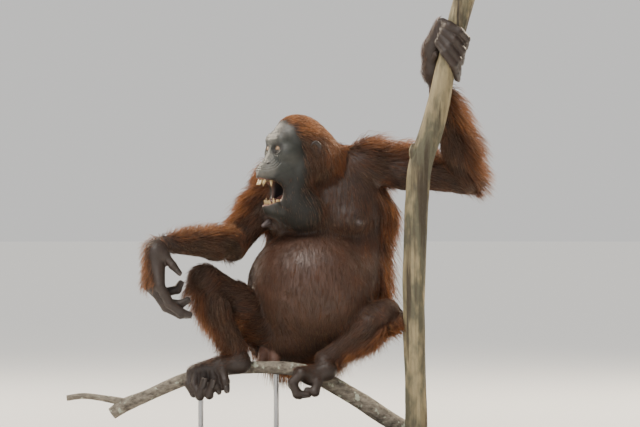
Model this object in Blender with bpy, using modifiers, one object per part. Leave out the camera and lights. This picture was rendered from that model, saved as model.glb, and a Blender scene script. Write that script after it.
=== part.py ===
"""A female orangutan squatting on a branch, one arm up on a slim trunk, calling with her mouth open.

Life size, in metres, +Z up, the floor at z = 0. She faces -Y, turned towards -X. Left and right are
her own: her left arm, on the +X side, holds the trunk, and her right hand hangs over her right knee.
The trunk and a cut length of the branch stand on a flat base.
"""

import math
import random

import bmesh
import bpy
import numpy as np
from mathutils import Matrix, Vector
from mathutils.bvhtree import BVHTree

# Clear space between pieces that touch.
GAP = 0.0003

# The stand.
BASE_SIZE = (0.84, 0.56, 0.030)
BASE_CORNER = 0.06
ROD_RADIUS = 0.008
ROD_STATIONS = (-0.385, -0.160)

# The trunk's middle line (x, y, z) and its radius there.
TRUNK = (
    (0.254, -0.115, 0.0303, 0.036),
    (0.254, -0.115, 0.150, 0.033),
    (0.248, -0.115, 0.455, 0.034),
    (0.257, -0.115, 0.750, 0.037),
    (0.267, -0.115, 0.854, 0.037),
    (0.300, -0.115, 0.957, 0.035),
    (0.323, -0.115, 1.046, 0.033),
    (0.338, -0.115, 1.120, 0.031),
    (0.366, -0.115, 1.230, 0.031),
    (0.396, -0.115, 1.342, 0.033),
    (0.408, -0.115, 1.390, 0.033),
)
TRUNK_KNOT = (0.246, -0.122, 0.890)

# The branch under the feet, and the shoot that forks from its thin end.
BRANCH = (
    (-0.650, -0.050, 0.113, 0.019),
    (-0.611, -0.050, 0.140, 0.022),
    (-0.537, -0.050, 0.172, 0.019),
    (-0.432, -0.055, 0.217, 0.020),
    (-0.343, -0.060, 0.242, 0.020),
    (-0.238, -0.060, 0.253, 0.020),
    (-0.134, -0.060, 0.250, 0.021),
    (-0.054, -0.060, 0.233, 0.023),
    (0.006, -0.060, 0.203, 0.025),
    (0.089, -0.055, 0.152, 0.026),
    (0.185, -0.045, 0.090, 0.028),
    (0.262, -0.020, 0.042, 0.030),
)
SHOOT = (
    (-0.606, -0.050, 0.146, 0.014),
    (-0.656, -0.050, 0.156, 0.011),
    (-0.731, -0.048, 0.166, 0.010),
    (-0.785, -0.046, 0.160, 0.009),
)

# Joints of the limbs.
SHOULDER = {"left": (0.088, 0.030, 0.852), "right": (-0.140, 0.150, 0.813)}
ELBOW = {"left": (0.404, 0.045, 0.806), "right": (-0.284, -0.040, 0.612)}
WRIST = {"left": (0.309, -0.062, 1.115), "right": (-0.484, -0.255, 0.622)}
HIP = {"left": (-0.061, 0.040, 0.335), "right": (-0.185, 0.050, 0.360)}
KNEE = {"left": (0.166, -0.090, 0.415), "right": (-0.366, -0.130, 0.517)}
ANKLE = {"left": (-0.018, -0.085, 0.276), "right": (-0.273, -0.085, 0.299)}

# Centres of the head (between the ears), chest, belly and pelvis, and how far each is turned
# from facing -Y towards -X.
HEAD_AT, HEAD_TURN = (-0.084, -0.012, 0.904), 60
CHEST_AT, CHEST_TURN = (-0.020, 0.060, 0.735), 20
BELLY_AT, BELLY_TURN = (-0.051, 0.030, 0.490), 28
PELVIS_AT, PELVIS_TURN = (-0.125, 0.070, 0.335), 28
NECK_ROOT = (-0.024, 0.080, 0.845)
WAIST = 0.600

scene = bpy.context.scene
for old in list(bpy.data.objects):
    bpy.data.objects.remove(old)
model = bpy.data.collections.new("orangutan")
cutters = bpy.data.collections.new("cutters")
scene.collection.children.link(model)
scene.collection.children.link(cutters)


def material(name, colour, roughness, metallic=0.0):
    made = bpy.data.materials.new(name)
    made.use_nodes = True
    surface = made.node_tree.nodes["Principled BSDF"]
    surface.inputs["Base Color"].default_value = (*colour, 1.0)
    surface.inputs["Roughness"].default_value = roughness
    surface.inputs["Metallic"].default_value = metallic
    made.diffuse_color = (*colour, 1.0)
    return made


COAT = material("coat", (0.235, 0.075, 0.028), 0.62)
BELLY_SKIN = material("belly_skin", (0.105, 0.058, 0.042), 0.50)
FACE_SKIN = material("face_skin", (0.110, 0.088, 0.085), 0.52)
HAND_SKIN = material("hand_skin", (0.060, 0.040, 0.036), 0.48)
EYE = material("eye", (0.045, 0.022, 0.012), 0.08)
TOOTH = material("tooth", (0.560, 0.430, 0.220), 0.32)
TONGUE = material("tongue", (0.170, 0.070, 0.060), 0.35)
BARK = material("bark", (0.235, 0.195, 0.120), 0.85)
BRANCH_BARK = material("branch_bark", (0.200, 0.170, 0.140), 0.88)
BOARD = material("board", (0.045, 0.045, 0.048), 0.42)
STEEL = material("rod", (0.500, 0.500, 0.510), 0.30, 1.0)


def mix(a, b, t):
    return np.array(a, float) * (1 - t) + np.array(b, float) * t


class Place:
    """A spot on the body with its own forward, left and up directions."""

    def __init__(self, at, turn, tip=0.0):
        turn, tip = math.radians(turn), math.radians(tip)
        forward = np.array((-math.sin(turn), -math.cos(turn), 0.0))
        up = np.array((0.0, 0.0, 1.0))
        self.at = np.array(at, float)
        self.left = np.array((math.cos(turn), -math.sin(turn), 0.0))
        self.forward = forward * math.cos(tip) + up * math.sin(tip)
        self.up = up * math.cos(tip) - forward * math.sin(tip)
        self.axes = np.array((self.forward, self.left, self.up))

    def __call__(self, forward, left, up):
        return self.at + np.array((forward, left, up), float) @ self.axes


HEAD = Place(HEAD_AT, HEAD_TURN)
CHEST = Place(CHEST_AT, CHEST_TURN)
BELLY = Place(BELLY_AT, BELLY_TURN)
PELVIS = Place(PELVIS_AT, PELVIS_TURN)
MUZZLE = Place(HEAD_AT, HEAD_TURN, -24)


# A form is a tapered round length or an egg shape. Its surface is where its distance is zero, and
# forms of one list run into each other over the width of their blend.
def bead(start, end, start_radius, end_radius, blend=0.02):
    return {
        "start": np.array(start, float),
        "end": np.array(end, float),
        "radii": (start_radius, end_radius),
        "blend": blend,
    }


def lump(centre, radii, place=None, blend=0.03):
    return {
        "centre": np.array(centre, float),
        "radii": np.array(radii, float),
        "axes": np.eye(3) if place is None else place.axes,
        "blend": blend,
    }


def chain(points, radii, blend=0.004):
    """Beads end to end, as the bones of a finger."""
    steps = zip(points, points[1:], radii, radii[1:])
    return [bead(a, b, ra, rb, blend) for a, b, ra, rb in steps]


def distance(form, points):
    if "start" in form:
        run = form["end"] - form["start"]
        t = np.clip((points - form["start"]) @ run / (run @ run), 0, 1)
        away = points - form["start"] - t[:, None] * run
        first, last = form["radii"]
        return np.sqrt((away * away).sum(1)) - first - t * (last - first)
    local = (points - form["centre"]) @ form["axes"].T
    near = np.sqrt(((local / form["radii"]) ** 2).sum(1))
    slope = np.sqrt(((local / form["radii"] ** 2) ** 2).sum(1)) + 1e-9
    return near * (near - 1) / slope


def depth_outside(forms, points):
    """Signed distance to the blended surface of the forms, positive outside."""
    total = np.full(len(points), 1.0)
    for form in forms:
        far = distance(form, points)
        blend = form["blend"]
        share = np.clip(0.5 + 0.5 * (total - far) / blend, 0, 1)
        total = total * (1 - share) + far * share - blend * share * (1 - share)
    return total


def torso_forms():
    c, b, p = CHEST, BELLY, PELVIS
    forms = [
        lump(c(0, 0, 0), (0.125, 0.185, 0.130), c, 0.04),
        lump(c(-0.045, 0, 0.02), (0.10, 0.15, 0.15), c, 0.05),
        lump(b(0.012, 0, 0), (0.165, 0.198, 0.172), b, 0.035),
        lump(b(-0.05, 0, 0.02), (0.13, 0.175, 0.19), b, 0.05),
        bead(c(-0.03, 0.125, -0.03), b(-0.04, 0.145, 0.03), 0.06, 0.055, 0.04),
        bead(c(-0.03, -0.125, -0.03), b(-0.04, -0.135, 0.03), 0.055, 0.05, 0.04),
        lump(p(0, 0, 0), (0.10, 0.135, 0.078), p, 0.05),
    ]
    for side in (-1, 1):
        forms.append(lump(p(-0.055, side * 0.07, -0.012), (0.07, 0.062, 0.062), p, 0.03))
        forms.append(lump(c(0.055, side * 0.095, -0.035), (0.065, 0.075, 0.050), c, 0.02))
    for side in ("left", "right"):
        forms.append(bead(NECK_ROOT, mix(NECK_ROOT, SHOULDER[side], 0.85), 0.060, 0.050, 0.04))
    # Nipples, and the swollen folds between the thighs.
    forms.append(bead((0.076, -0.062, 0.693), (0.087, -0.082, 0.684), 0.011, 0.006, 0.012))
    forms.append(bead((-0.185, -0.025, 0.683), (-0.200, -0.035, 0.674), 0.010, 0.006, 0.012))
    forms.append(bead((-0.200, 0.010, 0.292), (-0.206, 0.000, 0.262), 0.015, 0.014, 0.010))
    forms.append(bead((-0.168, 0.012, 0.290), (-0.166, 0.004, 0.250), 0.016, 0.018, 0.012))
    return forms


def upper_arm_forms(side):
    shoulder, elbow = SHOULDER[side], ELBOW[side]
    return [
        lump(mix(shoulder, elbow, 0.06) + (0, 0, 0.004), (0.060, 0.056, 0.058), None, 0.03),
        bead(shoulder, mix(shoulder, elbow, 0.45), 0.052, 0.047, 0.03),
        bead(mix(shoulder, elbow, 0.45), elbow, 0.047, 0.038, 0.03),
    ]


def forearm_forms(side):
    elbow, wrist = ELBOW[side], WRIST[side]
    return [
        bead(elbow, mix(elbow, wrist, 0.30), 0.034, 0.040, 0.02),
        bead(mix(elbow, wrist, 0.30), mix(elbow, wrist, 0.88), 0.040, 0.027, 0.02),
        bead(mix(elbow, wrist, 0.86), wrist, 0.027, 0.025, 0.01),
    ]


def thigh_forms(side):
    hip, knee = HIP[side], KNEE[side]
    return [
        bead(hip, mix(hip, knee, 0.5), 0.073, 0.060, 0.03),
        bead(mix(hip, knee, 0.5), knee, 0.060, 0.046, 0.03),
    ]


def shin_forms(side):
    knee, ankle = KNEE[side], ANKLE[side]
    return [
        bead(knee, mix(knee, ankle, 0.35), 0.040, 0.040, 0.02),
        bead(mix(knee, ankle, 0.35), mix(knee, ankle, 0.88), 0.040, 0.027, 0.02),
        bead(mix(knee, ankle, 0.85), ankle, 0.027, 0.028, 0.015),
    ]


def head_forms():
    h = HEAD
    forms = [
        lump(h(0.011, 0, 0.028), (0.083, 0.069, 0.074), h, 0.03),
        lump(h(-0.035, 0, -0.005), (0.060, 0.062, 0.062), h, 0.03),
        lump(h(0.070, 0, -0.018), (0.044, 0.054, 0.047), h, 0.025),
        bead(h(0.086, -0.030, 0.026), h(0.086, 0.030, 0.026), 0.019, 0.019, 0.02),
        # The muzzle slants down and forward to the upper lip.
        lump(h(0.100, 0, -0.056), (0.050, 0.041, 0.029), MUZZLE, 0.022),
        bead(h(0.097, 0, 0.0), h(0.112, 0, -0.032), 0.009, 0.010, 0.014),
        # The lower jaw, dropped open.
        lump(h(0.082, 0, -0.184), (0.046, 0.040, 0.024), h, 0.02),
        lump(h(0.030, 0, -0.165), (0.060, 0.055, 0.050), h, 0.03),
    ]
    for side in (-1, 1):
        forms.append(lump(h(0.062, side * 0.046, -0.014), (0.036, 0.024, 0.028), h, 0.02))
        forms.append(lump(h(0.114, side * 0.010, -0.041), (0.009, 0.009, 0.008), h, 0.008))
        forms.append(lump(h(0.046, side * 0.040, -0.100), (0.040, 0.024, 0.074), h, 0.02))
        forms.append(bead(h(0.015, side * 0.052, -0.05), h(0.055, side * 0.040, -0.160), 0.026, 0.026))
        # The cheek behind the corner of the mouth, and the edges of the lips.
        forms.append(lump(h(0.082, side * 0.034, -0.078), (0.032, 0.018, 0.030), h, 0.02))
        forms.append(bead(h(0.114, side * 0.031, -0.085), h(0.144, 0, -0.085), 0.0085, 0.0075, 0.012))
        forms.append(bead(h(0.102, side * 0.031, -0.168), h(0.122, 0, -0.173), 0.0080, 0.0080, 0.012))
    # The throat pouch and the neck.
    forms.append(lump(h(-0.005, 0.01, -0.185), (0.075, 0.085, 0.070), h, 0.04))
    forms.append(bead((-0.024, 0.08, 0.835), h(-0.03, 0, -0.03), 0.085, 0.075, 0.05))
    return forms


def made(name, mesh, look):
    thing = bpy.data.objects.new(name, mesh)
    model.objects.link(thing)
    if look is not None:
        mesh.materials.clear()
        mesh.materials.append(look)
    return thing


def evaluated(thing):
    """The object's mesh with its modifiers applied, in place of its own."""
    graph = bpy.context.evaluated_depsgraph_get()
    mesh = bpy.data.meshes.new_from_object(thing.evaluated_get(graph))
    old = thing.data
    thing.modifiers.clear()
    thing.data = mesh
    bpy.data.meshes.remove(old)
    return thing


def remove(thing):
    bpy.data.objects.remove(thing)


def add_form(bm, form, detail=2):
    """One form's own closed surface: an egg from a sphere, or the hull of two spheres."""
    if "centre" in form:
        turn = Matrix(form["axes"].T.tolist()).to_4x4()
        size = Matrix.Diagonal((*form["radii"], 1.0))
        where = Matrix.Translation(form["centre"]) @ turn @ size
        bmesh.ops.create_icosphere(bm, subdivisions=detail, radius=1.0, matrix=where)
        return
    hull = bmesh.new()
    for end, radius in zip((form["start"], form["end"]), form["radii"]):
        where = Matrix.Translation(end)
        bmesh.ops.create_icosphere(hull, subdivisions=detail, radius=radius, matrix=where)
    bmesh.ops.delete(hull, geom=hull.edges, context="EDGES_FACES")
    bmesh.ops.convex_hull(hull, input=hull.verts)
    bmesh.ops.delete(hull, geom=[v for v in hull.verts if not v.link_faces], context="VERTS")
    mesh = bpy.data.meshes.new("hull")
    hull.to_mesh(mesh)
    hull.free()
    bm.from_mesh(mesh)
    bpy.data.meshes.remove(mesh)


def flesh(name, forms, voxel, triangles, look):
    """The blended surface of the forms, as one closed mesh of about this many triangles."""
    bm = bmesh.new()
    for form in forms:
        add_form(bm, form)
    mesh = bpy.data.meshes.new(name)
    bm.to_mesh(mesh)
    bm.free()
    thing = made(name, mesh, look)
    grown = thing.modifiers.new("grow", "REMESH")
    grown.mode = "VOXEL"
    grown.voxel_size = voxel
    evaluated(thing)
    settle(thing.data, forms, voxel)
    thinner = thing.modifiers.new("thin", "DECIMATE")
    thing.data.calc_loop_triangles()
    thinner.ratio = min(1.0, triangles / len(thing.data.loop_triangles))
    evaluated(thing)
    keep_largest(thing)
    thing.data.materials.clear()
    thing.data.materials.append(look)
    return thing


def settle(mesh, forms, voxel, rounds=5):
    """Moves each vertex onto the forms' blended surface, evening out the mesh on the way."""
    bm = bmesh.new()
    bm.from_mesh(mesh)
    for turn in range(rounds):
        if turn < rounds - 1:
            bmesh.ops.smooth_vert(bm, verts=bm.verts, factor=0.5,
                                  use_axis_x=True, use_axis_y=True, use_axis_z=True)
        points = np.array([v.co for v in bm.verts])
        here = depth_outside(forms, points)
        slope = np.empty_like(points)
        step = voxel * 0.1
        for axis in range(3):
            side = np.zeros(3)
            side[axis] = step
            slope[:, axis] = (depth_outside(forms, points + side) - here) / step
        steep = np.maximum((slope * slope).sum(1), 0.25)
        move = np.clip(here / steep, -voxel, voxel)
        points -= slope * move[:, None]
        for vertex, point in zip(bm.verts, points):
            vertex.co = point
    bm.to_mesh(mesh)
    bm.free()


def islands(bm):
    """The closed surfaces in a mesh, as lists of faces."""
    left = set(bm.faces)
    found = []
    while left:
        start = left.pop()
        group, edge = [start], [start]
        while edge:
            for line in edge.pop().edges:
                for face in line.link_faces:
                    if face in left:
                        left.remove(face)
                        group.append(face)
                        edge.append(face)
        found.append(group)
    return found


def volume(faces):
    total = 0.0
    for face in faces:
        first = face.verts[0].co
        for a, b in zip(face.verts[1:], face.verts[2:]):
            total += first.dot(a.co.cross(b.co)) / 6
    return total


def keep_largest(thing):
    bm = bmesh.new()
    bm.from_mesh(thing.data)
    groups = sorted(islands(bm), key=volume)
    for group in groups[:-1]:
        bmesh.ops.delete(bm, geom=group, context="FACES")
    loose = [v for v in bm.verts if not v.link_faces]
    bmesh.ops.delete(bm, geom=loose, context="VERTS")
    bmesh.ops.triangulate(bm, faces=bm.faces)
    bm.to_mesh(thing.data)
    bm.free()
    return thing


def swollen(thing, by=GAP):
    """A copy of a piece grown all round, to cut its neighbour clear of it."""
    copy = bpy.data.objects.new(thing.name + "_swollen", thing.data.copy())
    cutters.objects.link(copy)
    bm = bmesh.new()
    bm.from_mesh(copy.data)
    bm.normal_update()
    for vertex in bm.verts:
        vertex.co += vertex.normal * by * max(1.0, vertex.calc_shell_factor())
    bm.to_mesh(copy.data)
    bm.free()
    return copy


def near(a, b, reach=0.002):
    """Whether the boxes round two objects, each grown by the reach, meet."""
    boxes = []
    for thing in (a, b):
        corners = np.array([v.co for v in thing.data.vertices])
        boxes.append((corners.min(0) - reach, corners.max(0) + reach))
    (low_a, high_a), (low_b, high_b) = boxes
    return (low_a < high_b).all() and (low_b < high_a).all()


def combine(thing, other, operation, solver="EXACT"):
    step = thing.modifiers.new("with", "BOOLEAN")
    step.operation = operation
    step.solver = solver
    if isinstance(other, bpy.types.Collection):
        step.operand_type = "COLLECTION"
        step.collection = other
    else:
        step.object = other
    return evaluated(thing)


def carve(thing, others, by=GAP):
    """Cuts the piece clear of its neighbours, face to face with them."""
    for other in others:
        if not near(thing, other):
            continue
        tool = swollen(other, by)
        combine(thing, tool, "DIFFERENCE")
        remove(tool)
    return keep_largest(thing)


def slab(at, normal, half=0.2, thick=GAP):
    """A thin plate across a limb, which parts it in two."""
    bm = bmesh.new()
    turn = Vector(normal).to_track_quat("Z", "Y").to_matrix().to_4x4()
    size = Matrix.Diagonal((2 * half, 2 * half, thick, 1.0))
    bmesh.ops.create_cube(bm, size=1.0, matrix=Matrix.Translation(at) @ turn @ size)
    mesh = bpy.data.meshes.new("slab")
    bm.to_mesh(mesh)
    bm.free()
    plate = bpy.data.objects.new("slab", mesh)
    cutters.objects.link(plate)
    return plate


def part(thing, planes, pieces):
    """Cuts the object across and makes each piece the nearest of the named seeds."""
    for at, normal, half in planes:
        plate = slab(at, normal, half)
        combine(thing, plate, "DIFFERENCE")
        remove(plate)
    bm = bmesh.new()
    bm.from_mesh(thing.data)
    groups = islands(bm)
    out = []
    for name, seed, look in pieces:
        def gap(group):
            middle = sum((f.calc_center_median() for f in group), Vector()) / len(group)
            return (middle - Vector(seed)).length - min(volume(group), 1e-3) * 1e-3
        big = [g for g in groups if volume(g) > 2e-5]
        mine = set(min(big, key=gap))
        other = bm.copy()
        kept = {f.index for f in mine}
        other.faces.ensure_lookup_table()
        drop = [other.faces[f.index] for f in bm.faces if f.index not in kept]
        bmesh.ops.delete(other, geom=drop, context="FACES")
        bmesh.ops.triangulate(other, faces=other.faces)
        mesh = bpy.data.meshes.new(name)
        other.to_mesh(mesh)
        other.free()
        out.append(made(name, mesh, look))
    bm.free()
    remove(thing)
    return out


def tube(name, stations, sides, look, between=1):
    """A round limb of wood through the stations (x, y, z, radius), smoothly bent, with flat cut ends."""
    curve = bpy.data.curves.new(name, "CURVE")
    curve.dimensions = "3D"
    curve.bevel_depth = 1.0
    curve.bevel_resolution = max(0, (sides - 4) // 2)
    curve.use_fill_caps = True
    line = curve.splines.new("POLY")
    points = smooth_line(stations, between)
    line.points.add(len(points) - 1)
    for point, (x, y, z, radius) in zip(line.points, points):
        point.co = (x, y, z, 1.0)
        point.radius = radius
    guide = bpy.data.objects.new(name, curve)
    scene.collection.objects.link(guide)
    graph = bpy.context.evaluated_depsgraph_get()
    mesh = bpy.data.meshes.new_from_object(guide.evaluated_get(graph))
    remove(guide)
    bm = bmesh.new()
    bm.from_mesh(mesh)
    bmesh.ops.remove_doubles(bm, verts=bm.verts, dist=0.00005)
    bmesh.ops.recalc_face_normals(bm, faces=bm.faces)
    bm.to_mesh(mesh)
    bm.free()
    return made(name, mesh, look)


def smooth_line(stations, between):
    """Points along a smooth curve through the stations."""
    rows = np.array(stations, float)
    rows = np.vstack((2 * rows[0] - rows[1], rows, 2 * rows[-1] - rows[-2]))
    out = []
    for i in range(1, len(rows) - 2):
        p0, p1, p2, p3 = rows[i - 1 : i + 3]
        for step in range(between):
            t = step / between
            out.append(
                0.5 * (2 * p1 + (p2 - p0) * t + (2 * p0 - 5 * p1 + 4 * p2 - p3) * t * t
                       + (3 * p1 - p0 - 3 * p2 + p3) * t ** 3)
            )
    out.append(rows[-2])
    return out


def at_height(stations, height):
    """The trunk's middle at this height."""
    rows = np.array(smooth_line(stations, 4))
    return np.array([np.interp(height, rows[:, 2], rows[:, axis]) for axis in range(4)])


# The stand: a flat base with rounded corners and edges, on which everything else rests.
def stand_base():
    wide, deep, thick = BASE_SIZE
    bm = bmesh.new()
    where = Matrix.Translation((0, 0, thick / 2)) @ Matrix.Diagonal((wide, deep, thick, 1.0))
    bmesh.ops.create_cube(bm, size=1.0, matrix=where)
    upright = [e for e in bm.edges if abs(e.verts[0].co.z - e.verts[1].co.z) > thick / 2]
    bmesh.ops.bevel(bm, geom=upright, offset=BASE_CORNER, segments=4, profile=0.5, affect="EDGES")
    rim = [e for e in bm.edges if min(v.co.z for v in e.verts) > thick - 1e-5
           and any(abs(f.normal.z) < 0.5 for f in e.link_faces)]
    bmesh.ops.bevel(bm, geom=rim, offset=0.005, segments=1, profile=0.5, affect="EDGES")
    mesh = bpy.data.meshes.new("stand_base")
    bm.to_mesh(mesh)
    bm.free()
    return made("stand_base", mesh, BOARD)


def stand_rod(name, x, branch):
    """A short rod from the base to the underside of the branch."""
    rows = np.array(smooth_line(BRANCH, 4))
    y, top = (np.interp(x, rows[:, 0], rows[:, axis]) for axis in (1, 2))
    bottom = BASE_SIZE[2] + GAP
    bm = bmesh.new()
    where = Matrix.Translation((x, y, (bottom + top) / 2))
    bmesh.ops.create_cone(bm, cap_ends=True, segments=12, radius1=ROD_RADIUS, radius2=ROD_RADIUS,
                          depth=top - bottom, matrix=where)
    mesh = bpy.data.meshes.new(name)
    bm.to_mesh(mesh)
    bm.free()
    rod = made(name, mesh, STEEL)
    tool = swollen(branch)
    combine(rod, tool, "DIFFERENCE")
    remove(tool)
    return keep_largest(rod)


def egg(centre, radii, place=None, detail=2, square=2.0):
    """An egg shape, or one squared off towards a box with rounded corners."""
    bm = bmesh.new()
    bmesh.ops.create_icosphere(bm, subdivisions=detail, radius=1.0)
    for vertex in bm.verts:
        reach = sum(abs(value) ** square for value in vertex.co) ** (1 / square)
        vertex.co /= reach
    turn = Matrix(place.axes.T.tolist()).to_4x4() if place else Matrix()
    bm.transform(Matrix.Translation(centre) @ turn @ Matrix.Diagonal((*radii, 1.0)))
    mesh = bpy.data.meshes.new("egg")
    bm.to_mesh(mesh)
    bm.free()
    thing = bpy.data.objects.new("egg", mesh)
    cutters.objects.link(thing)
    return thing


def stand_and_perch():
    base = stand_base()
    trunk = tube("perch_trunk", TRUNK, 10, BARK)
    knot = egg(TRUNK_KNOT, (0.013, 0.018, 0.026))
    combine(trunk, knot, "UNION")
    remove(knot)
    keep_largest(trunk)
    branch = tube("perch_branch", BRANCH, 8, BRANCH_BARK)
    shoot = tube("shoot", SHOOT, 6, BRANCH_BARK)
    combine(branch, shoot, "UNION")
    remove(shoot)
    carve(branch, [base, trunk])
    rods = [stand_rod(f"stand_rod_{i + 1}", x, branch) for i, x in enumerate(ROD_STATIONS)]
    return base, trunk, branch, rods


def right_hand():
    """Palm and digits of the hand that hangs over the knee, its fingers curling back towards her."""
    wrist = np.array(WRIST["right"])
    knuckles = {
        "index": (-0.493, -0.296, 0.502),
        "middle": (-0.512, -0.280, 0.494),
        "ring": (-0.524, -0.258, 0.497),
        "little": (-0.526, -0.234, 0.507),
    }
    bends = {
        "index": ((0.48, 0.02, -0.88), (0.80, 0.04, -0.60), (0.96, 0.05, -0.26)),
        "middle": ((0.55, 0.02, -0.83), (0.88, 0.05, -0.45), (0.99, 0.05, -0.08)),
        "ring": ((0.70, 0.05, -0.72), (0.95, 0.08, -0.10), (0.85, 0.10, 0.50)),
        "little": ((0.85, 0.05, -0.50), (0.90, 0.10, 0.20), (0.45, 0.10, 0.90)),
    }
    root = wrist + (-0.020, -0.010, -0.022)
    palm = [bead(wrist, root, 0.024, 0.027, 0.01)]
    for finger, knuckle in knuckles.items():
        palm.append(bead(root, knuckle, 0.026, 0.0175, 0.016))
    thumb_root = root + (0.026, -0.014, -0.012)
    palm.append(bead(root, thumb_root, 0.024, 0.017, 0.014))
    digits = {}
    for finger, knuckle in knuckles.items():
        digits[finger] = finger_line(knuckle, bends[finger], FINGER_BONES[finger])
    thumb_joint, thumb_tip = thumb_root + (0.022, -0.006, -0.028), thumb_root + (0.041, -0.004, -0.050)
    digits["thumb"] = [thumb_root, thumb_joint, thumb_tip]
    return palm, digits


FINGER_BONES = {
    "index": (0.060, 0.042, 0.024),
    "middle": (0.066, 0.046, 0.025),
    "ring": (0.064, 0.044, 0.024),
    "little": (0.052, 0.036, 0.021),
}
FINGER_RADII = (0.0150, 0.0140, 0.0128, 0.0095)
TOE_RADII = (0.0145, 0.0138, 0.0125, 0.0090)
THUMB_RADII = (0.0130, 0.0120, 0.0082)


def finger_line(start, directions, lengths):
    points = [np.array(start, float)]
    for direction, length in zip(directions, lengths):
        direction = np.array(direction, float)
        points.append(points[-1] + direction / np.sqrt(direction @ direction) * length)
    return points


def round_trunk(height, angle, out):
    """A point this far off the trunk's middle line, the angle going from +X round by -Y."""
    x, y, z, radius = at_height(TRUNK, height)
    reach = radius + out
    return np.array((x + math.cos(angle) * reach, y - math.sin(angle) * reach, height))


def left_hand():
    """Palm and digits of the hand on the trunk: knuckles on its far side, fingers round its front."""
    wrist = np.array(WRIST["left"])
    heights = {"index": 1.232, "middle": 1.248, "ring": 1.262, "little": 1.273}
    sweeps = {
        "index": (188, 152, 112, 64, -6, 0.122),
        "middle": (184, 145, 102, 50, -12, 0.124),
        "ring": (178, 136, 90, 38, -14, 0.104),
        "little": (170, 124, 78, 30, -8, 0.070),
    }
    root = wrist + (-0.002, -0.008, 0.018)
    palm, digits = [bead(wrist, root, 0.024, 0.025, 0.012)], {}
    for finger, height in heights.items():
        *angles, last, drop = sweeps[finger]
        knuckle = round_trunk(height, math.radians(angles[0]), 0.017)
        middle = mix(root, knuckle, 0.5) + (-0.014, 0.0, 0.0)
        palm.append(bead(root, middle, 0.026, 0.022, 0.014))
        palm.append(bead(middle, knuckle, 0.022, 0.0165, 0.014))
        stops = angles + [last]
        line = []
        for i, angle in enumerate(stops):
            t = i / (len(stops) - 1)
            line.append(round_trunk(height - drop * t ** 1.35, math.radians(angle), 0.0135 - 0.004 * t))
        digits[finger] = line
    thumb_root = wrist + (-0.012, -0.020, 0.032)
    palm.append(bead(wrist, thumb_root, 0.025, 0.017, 0.012))
    digits["thumb"] = [
        thumb_root,
        round_trunk(1.166, math.radians(196), 0.016),
        round_trunk(1.180, math.radians(166), 0.012),
    ]
    return palm, digits


# Each foot is half closed over the front of the branch: a knuckle and the three further joints of
# each toe, from the second to the fifth.
RIGHT_TOES = {
    5: ((-0.410, -0.098, 0.240), (-0.418, -0.110, 0.206), (-0.402, -0.128, 0.180), (-0.384, -0.140, 0.200)),
    4: ((-0.392, -0.108, 0.248), (-0.400, -0.126, 0.205), (-0.384, -0.145, 0.172), (-0.370, -0.152, 0.220)),
    3: ((-0.372, -0.114, 0.252), (-0.372, -0.136, 0.206), (-0.356, -0.152, 0.176), (-0.345, -0.158, 0.216)),
    2: ((-0.352, -0.112, 0.256), (-0.342, -0.136, 0.224), (-0.334, -0.148, 0.200), (-0.328, -0.146, 0.186)),
}
RIGHT_BIG_TOE = ((-0.318, -0.130, 0.246), (-0.309, -0.148, 0.216), (-0.304, -0.152, 0.190))
RING_AT, RING_RADIUS = (-0.074, 0.205), 0.037


def on_ring(turn, y, radius=RING_RADIUS):
    """A point on the round fist of the left foot, the turn going from +X up and over."""
    turn = math.radians(turn)
    return np.array((RING_AT[0] + radius * math.cos(turn), y, RING_AT[1] + radius * math.sin(turn)))


def foot(side):
    """Sole and toes: the outer edge of the foot rests on the branch, its toes curl in front of it."""
    ankle = np.array(ANKLE[side])
    toes = {}
    if side == "right":
        heel = np.array((-0.264, -0.098, 0.266))
        middle = np.array((-0.322, -0.104, 0.258))
        toes = {number: [np.array(p) for p in line] for number, line in RIGHT_TOES.items()}
        toes[1] = [np.array(p) for p in RIGHT_BIG_TOE]
    else:
        heel = np.array((-0.010, -0.104, 0.246))
        middle = on_ring(55, -0.114, 0.032)
        for number, y in {2: -0.152, 3: -0.134, 4: -0.116, 5: -0.100}.items():
            lean = 5 * (number - 2)
            toes[number] = [
                on_ring(108 + lean, y),
                on_ring(168 + lean, y - 0.002, 0.037),
                on_ring(228 + lean, y - 0.004, 0.036),
                on_ring(285 + lean, y - 0.004, 0.028),
            ]
        toes[1] = [on_ring(12, -0.132, 0.036), on_ring(-36, -0.142, 0.036), on_ring(-68, -0.146, 0.016)]
    sole = [bead(ankle, heel, 0.028, 0.028, 0.012), bead(heel, middle, 0.029, 0.028, 0.012)]
    for number, line in toes.items():
        width = 0.0185 if number == 1 else 0.0175
        sole.append(bead(middle if number > 1 else mix(heel, middle, 0.7), line[0], 0.024, width, 0.012))
    return sole, toes


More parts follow.
